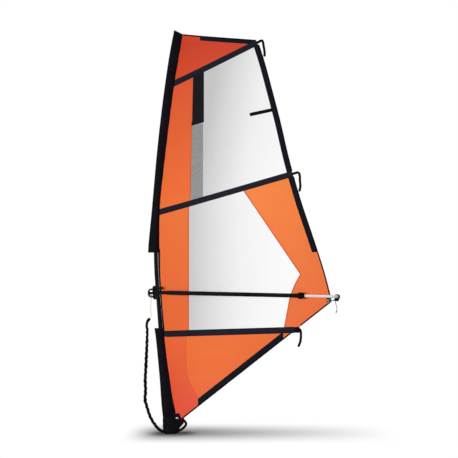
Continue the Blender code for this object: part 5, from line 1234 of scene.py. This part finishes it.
def turn_ring(name, profile, place, axis, look, slot, body, *nodes, steps=48):
    """A ring turned from a profile of (radius, height) about an axis through a place."""
    shape = spin_profile([(radius, 0.0, height) for radius, height in profile], (0.0, 0.0, 1.0), steps)
    bmesh.ops.recalc_face_normals(shape, faces=shape.faces)
    turn = Vector((0.0, 0.0, 1.0)).rotation_difference(Vector(axis)).to_matrix().to_4x4()
    bmesh.ops.transform(shape, matrix=Matrix.Translation(place) @ turn, verts=shape.verts)
    in_scene(name, close_mesh(shape, name), look, slot, body, *nodes)


for name, ((x, z), bore) in EYELETS.items():
    inner, outer = PATCH_THICKNESS / 2, PATCH_THICKNESS / 2 + 0.0002 + FLANGE_THICKNESS
    flange, neck = bore + EYELET_WALL + EYELET_FLANGE, bore + EYELET_WALL
    crown = [(bore, 0.0), (bore, outer * 0.7), (bore + 0.0006, outer * 0.93), (bore + 0.0018, outer),
             (flange - 0.0012, outer * 0.93), (flange - 0.0003, outer * 0.82), (flange, inner * 1.05),
             (neck, inner * 1.02)]
    profile = crown + [(radius, -height) for radius, height in crown[::-1][:-1]]
    turn_ring(name + "_ring", profile, (x, sail_y(x, z), z), (0.0, 1.0, 0.0), steel, "stainless_steel", "rig",
              name)


# Batten pockets and battens: each batten is a flat composite rod in a pocket of navy cloth, held by
# a moulded tensioner whose webbing tail hangs off the leech.

POCKET_THICKNESS = 0.0090
TENSIONER_LENGTH = {"top": 0.036, "middle": 0.034, "bottom": 0.050}
STRAP_ROUTES = {
    "top": ((0.8045, 3.3752), (0.8102, 3.3660), (0.8138, 3.3500), (0.8168, 3.3310), (0.8200, 3.3130),
            (0.8238, 3.2880), (0.8262, 3.2620), (0.8240, 3.2380)),
    "middle": ((1.1190, 2.2340), (1.1270, 2.2100), (1.1280, 2.1750), (1.1320, 2.1250), (1.1240, 2.0760)),
    "bottom": ((1.1345, 0.8720), (1.1360, 0.8500), (1.1350, 0.8200), (1.1290, 0.7850), (1.1130, 0.7450))}
TENSIONER_GRIP = 0.0122  # half height of a slim tensioner behind its shoe
RIB_PLACES, RIB_HALF_WIDTH, RIB_HALF_THICKNESS = (0.22, 0.40, 0.58), 0.0011, 0.0068
POCKET_BULGE = 0.80  # share of the pocket's width that the batten lifts
STRAP_HALF_WIDTH, STRAP_HALF_THICKNESS = 0.0105, 0.0012
SHORT_BATTEN = ((0.6980, 2.7376), (0.8890, 2.7785))

pocket_cloth = cloth_finish("pocket_cloth", (0.0085, 0.0085, 0.0165), (0.0170, 0.0170, 0.0300), 0.0014, 0.05,
                            0.0008, (0.45, 0.66), 0.02)
short_pocket_cloth = cloth_finish("short_pocket_cloth", (0.0014, 0.0013, 0.0020), (0.0060, 0.0058, 0.0080),
                                  0.0014, 0.05, 0.0006)

# Moulded plastic: fine spark-eroded grain, edges polished by use
mould_group, given, result = effect_group("moulded", {"Grain": 0.0007}, "Height", "Rub")
pits = noise(mould_group, given["Vector"], reckon(mould_group, "DIVIDE", 1.0, given["Grain"]))
mould_group.links.new(pits, result["Height"])
rubbed = noise(mould_group, given["Vector"], 38.0, 3.0)
mould_group.links.new(remap(mould_group, rubbed, 0.35, 0.70), result["Rub"])


def moulded_finish(name, dark, light, grain=0.0007, rough=(0.34, 0.52)):
    look, tree, shader, places = new_finish(name, dark, rough[1], specular=0.035)
    mould = use_group(tree, mould_group, Vector=places["Object"], Grain=grain)
    tone = mix_colour(tree, mould["Rub"], dark, light)
    lay_on(tree, shader, tone, mould["Rub"], rough[::-1], (mould["Height"], grain * 0.10))
    return look


black_moulding = moulded_finish("black_moulding", (0.0016, 0.0015, 0.0024), (0.0055, 0.0052, 0.0070))
glossy_moulding = moulded_finish("glossy_moulding", (0.0018, 0.0017, 0.0026), (0.0052, 0.0050, 0.0066),
                                 0.0012, (0.20, 0.34))


def flattened(name, path, section, look, slot, body, *nodes, sides=24, lift=0.0):
    """A round line along a path in the side plane, then flattened and laid on the sail.

    section gives, for a share of the length, the half width and the half thickness.
    """
    widths = [section(share)[0] for share in np.linspace(0.0, 1.0, len(path))]
    mesh = tube_mesh(name, [(x, 0.0, z) for x, z in path], max(widths), widths, sides)
    line = np.array(path)
    for vert in mesh.vertices:
        index = int(np.argmin(np.hypot(line[:, 0] - vert.co.x, line[:, 1] - vert.co.z)))
        width, thick = section(index / (len(path) - 1))
        vert.co.y = vert.co.y / width * thick + sail_y(vert.co.x, vert.co.z) + lift
    return in_scene(name, mesh, look, slot, body, *nodes)


def straight(start, end, count):
    return [(start[0] + (end[0] - start[0]) * share, start[1] + (end[1] - start[1]) * share)
            for share in np.linspace(0.0, 1.0, count)]


def sew_pocket(which, height, slope, width, end):
    """Two layers of cloth sewn along both edges and bulged by the batten."""
    centre, stretch = batten_edge(which, 0), math.hypot(1.0, slope)
    luff_x, luff_z = meet_side(centre, luff)
    begin = luff_x + 0.0010
    length = (end - begin) * stretch
    lean = (luff(luff_z + 0.01) - luff(luff_z - 0.01)) / 0.02
    shear = lean * stretch / (1.0 - lean * slope)
    shape = bmesh.new()
    bmesh.ops.create_grid(shape, x_segments=70, y_segments=18, size=0.5)
    far = bmesh.ops.duplicate(shape, geom=shape.verts[:] + shape.edges[:] + shape.faces[:])["geom"]
    far = {g for g in far if isinstance(g, bmesh.types.BMVert)}
    uv = shape.loops.layers.uv.new("UVMap")
    for face in shape.faces:
        for loop in face.loops:
            loop[uv].uv = ((loop.vert.co.x + 0.5) * length, loop.vert.co.y + 0.5)
    for vert in shape.verts:
        share, side = vert.co.x + 0.5, vert.co.y * 2.0
        hem = 0.0013 if abs(side) > POCKET_BULGE else 0.0
        bulge = POCKET_THICKNESS / 2 * max(0.0, 1.0 - abs(side / POCKET_BULGE) ** 3.0) ** 0.6 + 0.0010
        bulge = max(bulge, hem) * (1.0 + 0.04 * math.sin(share * 90.0))
        offset = side * width / 2
        x = begin + (end - begin) * share + offset * (shear * (1.0 - share) - slope / stretch * share)
        z = centre(x) + offset * stretch
        vert.co = (x, sail_y(x, z) + (bulge if vert in far else -bulge), z)
    bmesh.ops.recalc_face_normals(shape, faces=shape.faces)
    bmesh.ops.bridge_loops(shape, edges=[edge for edge in shape.edges if edge.is_boundary])
    bmesh.ops.recalc_face_normals(shape, faces=shape.faces)
    name = "pocket_" + which
    pocket = in_scene(name, close_mesh(shape, name, 40.0), pocket_cloth, "black_cloth", "rig",
                      "batten_" + name, "batten_" + which)
    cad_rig.sheet(pocket, flat=(1.1 * width, length), held="stretched", rests_on=["panel_head", "panel_foot"])


def rib_section(s):
    return RIB_HALF_WIDTH, RIB_HALF_THICKNESS


def strap_section(s):
    return STRAP_HALF_WIDTH - 0.0010 * (s > 0.97), STRAP_HALF_THICKNESS


def short_pocket_section(s):
    return 0.0148 * min(1.0, 0.75 + s / 0.06), 0.0024 * min(1.0, 0.4 + s / 0.05)


def tensioner_section(which, width):
    """Half height and half thickness of a tensioner: a shoe, a waist and a rounded tail."""
    def broad(s):
        waist = 0.475 - 0.035 * math.sin(math.pi * min(1.0, s / 0.45))
        return width * (waist - 0.16 * max(0.0, s - 0.75) ** 2 / 0.25 ** 2), 0.0064 - 0.0022 * s

    def slim(s):
        shoe = (width * 0.475 - TENSIONER_GRIP) * math.exp(-(s / 0.10) ** 2)
        return TENSIONER_GRIP + shoe - 0.0016 * s, 0.0064 - 0.0022 * s

    return broad if which == "bottom" else slim


for which, (height, slope, width, end) in BATTENS.items():
    sew_pocket(which, height, slope, width, end)
    centre, stretch = batten_edge(which, 0), math.hypot(1.0, slope)

    # Tensioner: a moulded shoe that grips the batten's end, ribbed for the thumb
    tail = end + TENSIONER_LENGTH[which]
    path = [(x, centre(x)) for x in np.linspace(end - 0.0004, tail, 28)]
    name = "tensioner_" + which
    flattened(name, path, tensioner_section(which, width), black_moulding, "black_plastic", "rig",
              "batten_" + name)
    reach = width * 0.33 if which == "bottom" else 0.0084
    for rib, share in enumerate(RIB_PLACES):
        x = end + (tail - end) * share
        foot_end = (x + slope / stretch * reach, centre(x) - reach / stretch)
        head_end = (x - slope / stretch * reach, centre(x) + reach / stretch)
        flattened("%s_rib_%d" % (name, rib), straight(foot_end, head_end, 9), rib_section, glossy_moulding,
                  "black_plastic", "rig", sides=12)

    # Webbing tail: a short lead out of the tensioner, then its hanging route
    leads = (0.004, 0.010) if which == "middle" else (0.003,)
    route = [(tail + out, 0.0, centre(tail + out)) for out in leads]
    route += [(x, 0.0, z) for x, z in STRAP_ROUTES[which]]
    path = [(tail + out, centre(tail + out)) for out in (0.0001, 0.002)]
    path += [(p.x, p.z) for p in smooth_path(route, 46)]
    strap = flattened("strap_" + which, path, strap_section, webbing, "black_webbing", "rig",
                      "batten_strap_" + which, sides=16)
    spine = [(x, sail_y(x, z), z) for x, z in path]
    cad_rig.cord(strap, exit=spine[0], length=line_length(spine), diameter=0.018, far_end="bare",
            stiffness="medium", lay="hanging", path=spine)

# Short batten at the leech, in its own sewn pocket on the port side
short_pocket = flattened("mini_batten_pocket", straight(*SHORT_BATTEN, 40), short_pocket_section,
                         short_pocket_cloth, "black_cloth", "rig", "mini_batten", lift=-0.0028)
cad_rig.sheet(short_pocket, flat=(0.028, 0.196), held="stretched", rests_on=["window_upper"])


# Foot: a black moulded base with a socket below and a trimming sheave behind, under a soft cover
# that is drawn in at the hem. A pull loop of webbing is sewn to the tack.

BASE_RADIUS = 0.027
FAIRING_HALF_WIDTH, FAIRING_WALL = 0.0385, 0.0022
FAIRING_NOSE, FAIRING_HEIGHT, FAIRING_BOTTOM = 0.0440, 0.150, 0.001
TACK_LOOP_ROUTE = ((0.1252, 0.0, 0.1299), (0.1322, 0.0, 0.1190), (0.1445, 0.0, 0.1040),
                   (0.1515, 0.0, 0.0885), (0.1478, 0.0, 0.0730), (0.1362, 0.0, 0.0585),
                   (0.1195, 0.0, 0.0440), (0.0990, 0.0, 0.0300), (0.0900, 0.0, 0.0245))
SHEAVE_X, SHEAVE_Z, SHEAVE_GROOVE = 0.036, 0.046, 0.0076  # of the base, in the mast's own frame
GROOVE_GAP = 0.0003  # between a line and what it lies on
EYELET_SIDE = 0.0043  # from the sail's middle to the outside of an eyelet's flange

cover_cloth = cloth_finish("cover_cloth", (0.0016, 0.0013, 0.0022), (0.0060, 0.0052, 0.0078), 0.0013, 0.03,
                           0.0022, (0.58, 0.80))


def cover_point(share, angle):
    """A point of the cover at a share of its height: drawn in below, bulged behind, cut lower aft."""
    c, s = math.cos(angle), math.sin(angle)
    hem = BASE_RADIUS + FAIRING_WALL + 0.0008
    bulge = math.sin(math.pi * min(1.0, share / 1.05)) ** 0.8
    drawn = max(0.0, 1.0 - share / 0.08)
    front = -FAIRING_NOSE - 0.0060 * share + (FAIRING_NOSE - hem) * drawn
    rear = 0.080 + 0.022 * bulge - 0.012 * drawn
    side = FAIRING_HALF_WIDTH - 0.0065 * share ** 2
    side += (hem - side) * drawn
    top_edge = FAIRING_HEIGHT - 0.045 * max(0.0, c) ** 2 - 0.020 * max(0.0, -c) ** 2
    gather = 0.0009 * math.sin(22.0 * angle) * math.exp(-share / 0.10)
    gather *= 0.3 + share / 0.1 if share < 0.07 else 1.0
    fold = 0.0010 * math.sin(3.0 * angle + 9.0 * share) * math.sin(math.pi * share) ** 2
    rim = 0.0006 if share > 0.965 else 0.0
    out = 1.0 + (gather + fold + rim - 0.0006) / side
    return ((rear * c if c > 0 else -front * c) * out, side * s * (1.0 - 0.05 * max(0.0, c)) * out,
            FAIRING_BOTTOM + (top_edge - FAIRING_BOTTOM) * share)


shares = np.concatenate([np.linspace(0.0, 0.10, 8), np.linspace(0.13, 0.96, 34), [0.975, 0.985, 1.0]])
cover = in_scene("foot_cover", sock("foot_cover", 96, shares, cover_point), cover_cloth, "black_cloth", "rig",
                 "foot_fairing")
thicken(cover, FAIRING_WALL, -1.0)
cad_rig.sheet(cover, flat=(0.360, 0.150), held="gathered", rests_on=["base_block"])

loop_path = smooth_path(TACK_LOOP_ROUTE, 70)
radii = [0.0078 + 0.0032 * min(1.0, i / 14.0, (69 - i) / 14.0) + 0.0003 * math.sin(i * 0.9)
         for i in range(70)]
tack_loop = in_scene("tack_loop", line_curve("tack_loop", loop_path, 0.0084, radii, 16), webbing,
                     "black_webbing", "rig", "tack_pull_loop")
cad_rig.cord(tack_loop, exit=loop_path[0], length=line_length(loop_path), diameter=0.0180, far_end="object",
        stiffness="medium", lay="hanging")


def dress_solids(look, *nodes):
    """The finish of CAD solids that stay as they are."""
    for node in nodes:
        dress(frame["nodes"][node].data, look)


dress_solids(black_moulding, "base_block", "release_button", "base_sheave")
dress_solids(steel, "base_axle")

# Downhaul: thin grey line through the tack ring and round the base's sheave
rake = Matrix.Rotation(-math.atan(MAST_RAKE), 3, "Y")
reach = SHEAVE_GROOVE + ROPE_RADIUS + GROOVE_GAP
x, z = TACK_EYELET
y = EYELET_SIDE + ROPE_RADIUS + 0.0009
low = z - (EYELETS["tack_eyelet"][1] - ROPE_RADIUS - 0.0012)
start_point = rake @ Vector((0.030, -0.0095, 0.0605))
start_point.z += ROPE_RADIUS
route = [start_point, (0.045, -0.0095, 0.090), (x - 0.005, -y - 0.0012, z - 0.0125), (x, -y, z - 0.0045),
         (x, -y + 0.0024, low), (x, 0.0, low), (x, y - 0.0024, low), (x, y, z - 0.0045),
         (x - 0.004, y + 0.0010, z - 0.0125), (0.060, 0.0030, 0.085)]
for turn in np.radians((25, 0, -30, -60, -90, -120, -150, -180)):
    route.append(rake @ Vector((SHEAVE_X + reach * math.cos(turn), 0.0, SHEAVE_Z + reach * math.sin(turn))))
route += [rake @ Vector((SHEAVE_X - reach + aft, 0.0, height)) for aft, height in (
    (0.0, 0.062), (0.0005, 0.076))]
in_scene("downhaul", line_curve("downhaul", smooth_path(route, 150), ROPE_RADIUS, sides=12), grey_line,
         "grey_line", "rig", "downhaul_line")


# Boom head: a moulded clamp on a rubber pad, held round the mast by a strap and a lever, with a
# bridge in front for the uphaul line and a pin on each side for the arms.

BOOM_HEIGHT = 1.210
STRAP_LOW, STRAP_WIDTH, STRAP_SIDE, STRAP_WALL = 0.024, 0.020, 0.0343, 0.0020

rubber = moulded_finish("pad_rubber", (0.008, 0.008, 0.009), (0.015, 0.015, 0.016), 0.0016, (0.70, 0.85))
dress_solids(black_moulding, "boom_head_body")
dress_solids(glossy_moulding, "clamp_lever")
dress_solids(rubber, "mast_pad")

# The strap: back along one side, round the mast, and forward along the other
at_boom = Matrix.Translation((mast_x(BOOM_HEIGHT), 0.0, BOOM_HEIGHT))
head_frame = at_boom @ Matrix.Rotation(-math.atan(MAST_RAKE), 4, "Y")
round_mast = mast_radius(BOOM_HEIGHT) + 0.0018
route = [(x, STRAP_SIDE) for x in np.linspace(-0.0200, 0.0120, 12)] + [(0.0136, 0.0341), (0.0147, 0.0334)]
route += [(round_mast * math.cos(turn), round_mast * math.sin(turn))
          for turn in np.radians(np.linspace(12.0, -12.0, 9))]
route += [(0.0147, -0.0334), (0.0136, -0.0341)] + [(x, -STRAP_SIDE) for x in np.linspace(0.0120, -0.0115, 9)]
shape = bmesh.new()
edges = [shape.edges.new([shape.verts.new((*route[0], z)) for z in (STRAP_LOW, STRAP_LOW + STRAP_WIDTH)])]
for x, y in route[1:]:
    pair, edges = grow(shape, edges)
    for vert in pair:
        vert.co.x, vert.co.y = x, y
bmesh.ops.transform(shape, matrix=head_frame, verts=shape.verts)
bmesh.ops.recalc_face_normals(shape, faces=shape.faces)
head_strap = in_scene("head_strap", close_mesh(shape, "head_strap", 80.0), webbing, "black_webbing",
                      "boom_head", "clamp_strap")
thicken(head_strap, STRAP_WALL)
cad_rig.sheet(head_strap, flat=(STRAP_WIDTH, line_length([(*p, 0.0) for p in route])), held="stretched",
         rests_on=["boom_head_body"])


# Boom arms: two bowed alloy tubes in black foam, each on its pin at the head, with a moulded clamp
# at the rear that closes on the tail.

BOOM_DROP = math.radians(1.3)
ARM_RADIUS, ARM_START, ARM_END, TAIL_HALF_GAUGE = 0.0145, 0.0105, 1.1995, 0.058

# An arm's distance off the centre line at each distance behind the head
ARM_PLAN = ((0.010, 0.0560), (0.060, 0.0980), (0.150, 0.1460), (0.300, 0.1900), (0.460, 0.2030),
            (0.600, 0.1830), (0.740, 0.1250), (0.830, 0.0790), (0.880, 0.0625), (0.930, 0.0580))

GRIP_START, GRIP_END, GRIP_THICKNESS, GLUE_GAP = 0.080, 1.160, 0.0025, 0.0003
KNUCKLE_INSIDE, KNUCKLE_OUTSIDE, KNUCKLE_RADIUS, PIN_BORE, CAP_BORE = 0.0403, 0.0597, 0.0170, 0.0092, 0.0124
COLLAR_START, COLLAR_END, CLIP_PIVOT, TAIL_RADIUS = 1.1645, 1.2560, 1.1850, 0.0125
KNOB = ((0.0150, 0.0), (0.0192, 0.004), (0.0242, 0.012), (0.0276, 0.022), (0.0288, 0.032), (0.0279, 0.043),
        (0.0248, 0.054), (0.0206, 0.061), (0.0180, 0.066))  # radius at a distance before the collar's end
CLIP_SEAT, CLIP_SEAT_HALF = 0.0162, 0.0090
EAR_SIZE, EAR_OUT, EAR_HEIGHT = (0.026, 0.0105, 0.0042, 1.0), 0.0197, 0.0107
boom_frame = at_boom @ Matrix.Rotation(BOOM_DROP, 4, "Y")
bow = through(ARM_PLAN)

# Foam grip: a pressed diamond pattern with open pores
foam, tree, shader, places = new_finish("grip_foam", (0.009, 0.009, 0.011), 0.8, specular=0.05)
diamonds = use_group(tree, braid_group, Vector=places["Object"], Strand=0.0060)["Height"]
pores = noise(tree, places["Object"], 1500.0)
dust = blotches(tree, places["Object"], 0.06, 0.2)
tone = mix_colour(tree, dust, (0.0020, 0.0020, 0.0030), (0.0085, 0.0085, 0.0110))
lay_on(tree, shader, tone, dust, (0.62, 0.80), (diamonds, 0.0004), (pores, 0.00008))

alloy, tree, shader, places = new_finish("anodised_alloy", (0.78, 0.77, 0.77), 0.40, 0.15, 0.10)
draw_lines = noise(tree, drawn_out(tree, places["Object"], (0.02, 1.0, 1.0)), 1200.0)
tone = mix_colour(tree, draw_lines, (0.70, 0.68, 0.68), (0.86, 0.84, 0.84))
lay_on(tree, shader, tone, blotches(tree, places["Object"], 0.03), (0.28, 0.42), (draw_lines, 0.00003))

arm_coat = moulded_finish("arm_coat", (0.0030, 0.0030, 0.0042), (0.0075, 0.0075, 0.0095), 0.0009,
                          (0.42, 0.56))


def arm_points(sign, low, high, count):
    points = []
    for u in np.linspace(low, high, count):
        out = bow(u) if u < ARM_PLAN[-1][0] else TAIL_HALF_GAUGE
        points.append(boom_frame @ Vector((u, sign * out, 0.0)))
    return points


def knuckle(name, sign):
    """A ring that turns on the head's pin, with a recess for the pin's cap."""
    inside, rim, seat = KNUCKLE_INSIDE, KNUCKLE_OUTSIDE, KNUCKLE_OUTSIDE - 0.0037
    profile = [(PIN_BORE, inside), (0.0158, inside), (KNUCKLE_RADIUS, inside + 0.0012),
               (KNUCKLE_RADIUS, rim - 0.0020), (0.0164, rim - 0.0006), (0.0152, rim),
               (CAP_BORE + 0.0006, rim), (CAP_BORE, rim - 0.0006), (CAP_BORE, seat), (PIN_BORE, seat)]
    axis = boom_frame.to_3x3() @ Vector((0.0, sign * 1.0, 0.0))
    turn_ring(name, profile, boom_frame.translation, axis, black_moulding, "black_plastic", "wishbone",
              steps=64)


def tail_clamp(name, sign, *nodes):
    """A turned knob with a slimmer neck, a seat for the clip and an ear above and below it."""
    bore, seat = TAIL_RADIUS + 0.0004, ARM_RADIUS + GLUE_GAP
    profile = [(bore, COLLAR_END)] + [(radius, COLLAR_END - back) for radius, back in KNOB]
    profile += [(KNOB[-1][0], COLLAR_START + 0.003), (0.0172, COLLAR_START), (seat, COLLAR_START),
                (seat, ARM_END + 0.0003), (bore, ARM_END + 0.0003)]
    shape = spin_profile([(along, 0.0, radius) for radius, along in profile], (1.0, 0.0, 0.0), 96)
    for vert in shape.verts:
        if abs(vert.co.z) < CLIP_SEAT_HALF and vert.co.y * sign > CLIP_SEAT:
            vert.co.y = sign * CLIP_SEAT
    for level in (-EAR_HEIGHT, EAR_HEIGHT):
        ear = bmesh.ops.create_cube(shape, size=1.0)["verts"]
        place = Matrix.Translation((CLIP_PIVOT + 0.006, sign * EAR_OUT, level)) @ Matrix.Diagonal(EAR_SIZE)
        bmesh.ops.transform(shape, matrix=place, verts=ear)
        bmesh.ops.bevel(shape, geom=list({edge for vert in ear for edge in vert.link_edges}), offset=0.0010,
                        segments=3, affect="EDGES")
    beside = boom_frame @ Matrix.Translation((0.0, sign * TAIL_HALF_GAUGE, 0.0))
    bmesh.ops.transform(shape, matrix=beside, verts=shape.verts)
    bmesh.ops.recalc_face_normals(shape, faces=shape.faces)
    in_scene(name, close_mesh(shape, name, 32.0), black_moulding, "black_plastic", "wishbone", *nodes)


for side, sign in (("port", -1), ("starboard", 1)):
    tube = tube_mesh("arm", arm_points(sign, ARM_START, ARM_END, 180), ARM_RADIUS, None, 40)
    in_scene("arm_" + side, tube, arm_coat, "black_plastic", "wishbone", "boom_arm_" + side)
    knuckle("knuckle_" + side, sign)
    tube = tube_mesh("grip", arm_points(sign, GRIP_START, GRIP_END, 150),
                     ARM_RADIUS + GLUE_GAP + GRIP_THICKNESS, None, 32)
    in_scene("grip_" + side, tube, foam, "black_foam", "wishbone", "boom_grip_" + side)
    dress_solids(glossy_moulding, "tail_clip_" + side)
    tail_clamp("clamp_" + side, sign, "tail_clamp_" + side)


# Boom tail: a bright alloy tube bent into a U, which slides in the arms, with a moulded end that
# carries the outhaul's sheave.

TAIL_START, BEND_CENTRE = 0.945, 1.485
CAP_HALF, CHEEK_OUT, CHEEK_GAP = 0.030, 0.012, 0.0042
OUTHAUL_SHEAVE, OUTHAUL_GROOVE = (1.530, -0.027), 0.0071

points = [(u, -TAIL_HALF_GAUGE) for u in np.linspace(TAIL_START, BEND_CENTRE, 40)]
points += [(BEND_CENTRE + TAIL_HALF_GAUGE * math.cos(a), TAIL_HALF_GAUGE * math.sin(a))
           for a in np.radians(np.linspace(-86, 86, 44))]
points += [(u, TAIL_HALF_GAUGE) for u in np.linspace(BEND_CENTRE, TAIL_START, 40)]
tube = tube_mesh("tail", [boom_frame @ Vector((u, v, 0.0)) for u, v in points], TAIL_RADIUS, None, 32)
in_scene("tail_tube_bright", tube, alloy, "alloy", "boom_tail", "tail_tube")
dress_solids(glossy_moulding, "outhaul_sheave")


def rounded_plate(shape, outline, low, high, radius):
    """A plate of a side outline between two depths, its corners and edges rounded."""
    face = shape.faces.new([shape.verts.new((u, low, w)) for u, w in outline])
    grown = bmesh.ops.extrude_face_region(shape, geom=[face])["geom"]
    far = [g for g in grown if isinstance(g, bmesh.types.BMVert)]
    bmesh.ops.translate(shape, vec=(0.0, high - low, 0.0), verts=far)
    verts = set(face.verts) | set(far)
    edges = list({edge for vert in verts for edge in vert.link_edges if set(edge.verts) <= verts})
    bmesh.ops.bevel(shape, geom=edges, offset=radius, segments=4, profile=0.5, affect="EDGES",
                    clamp_overlap=True)


# End cap: a rounded block over the tube's bend, with two cheeks below that hold the sheave's pin
apex = BEND_CENTRE + TAIL_HALF_GAUGE
block = [(apex + u, w) for u, w in (
    (-0.024, 0.0150), (-0.016, 0.0195), (0.002, 0.0200), (0.014, 0.0150), (0.019, 0.0040), (0.019, -0.0120),
    (0.012, -0.0185), (-0.014, -0.0180), (-0.024, -0.0150))]
cheek = [(OUTHAUL_SHEAVE[0] + u, w) for u, w in (
    (-0.015, -0.0125), (-0.015, -0.0350), (-0.010, -0.0400), (0.016, -0.0400), (0.024, -0.0340),
    (0.026, -0.0125))]
shape = bmesh.new()
rounded_plate(shape, block, -CAP_HALF, CAP_HALF, 0.0032)
rounded_plate(shape, cheek, -CHEEK_OUT, -CHEEK_GAP, 0.0016)
rounded_plate(shape, cheek, CHEEK_GAP, CHEEK_OUT, 0.0016)
bmesh.ops.transform(shape, matrix=boom_frame, verts=shape.verts)
bmesh.ops.recalc_face_normals(shape, faces=shape.faces)
in_scene("end_cap", close_mesh(shape, "end_cap", 38.0), black_moulding, "black_plastic", "boom_tail",
         "tail_end_cap")

# The outhaul: from the end cap's lug through the clew's ring and back round the sheave
ex, ez = CLEW_EYELET
eye = boom_frame.inverted() @ Vector((ex, sail_y(ex, ez), ez))
x, z = OUTHAUL_SHEAVE
reach = OUTHAUL_GROOVE + ROPE_RADIUS + GROOVE_GAP
clear = EYELET_SIDE + ROPE_RADIUS
lug_front, ring = x - 0.015, eye.x + EYELETS["clew_eyelet"][1] - ROPE_RADIUS - GROOVE_GAP
route = [(lug_front - 0.0003, -0.0088, -0.0300), (ring + 0.020, -0.0088, eye.z + 0.0015),
         (ring + 0.0040, eye.y - clear - 0.0040, eye.z), (ring - 0.0008, eye.y - clear + 0.0020, eye.z),
         (ring - 0.0012, eye.y, eye.z), (ring - 0.0008, eye.y + clear - 0.0020, eye.z),
         (ring + 0.0040, eye.y + clear + 0.0040, eye.z), (ring + 0.020, 0.0060, eye.z),
         (lug_front - 0.004, 0.0024, z - reach + 0.0006), (x - 0.006, 0.0, z - reach)]
for turn in np.radians((-90, -60, -30, 0, 25)):
    route.append((x + reach * math.cos(turn), 0.0, z + reach * math.sin(turn)))
path = [boom_frame @ p for p in smooth_path(route, 130)]
give = [boom_frame @ Vector((u, 0.0, eye.z)) for u in (ring + 0.0050, lug_front - 0.0040)]
in_scene("outhaul", tube_mesh("outhaul", path, ROPE_RADIUS + 0.0004, sides=12), black_line, "grey_line",
         "wishbone", "outhaul_line", bend=("boom_tail", *give))


# Mast fittings: a moulded plug in the mast's tip that the sail's head pulls on, and an alloy tube in
# its foot that slides down into the base. Sleeve and cover hide them.

dress_solids(glossy_moulding, "head_cap")
dress_solids(alloy, "extension_tube")

with open("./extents.json", "w") as sizes:
    json.dump(solid_box + [list(corner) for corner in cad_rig.bounds()], sizes)
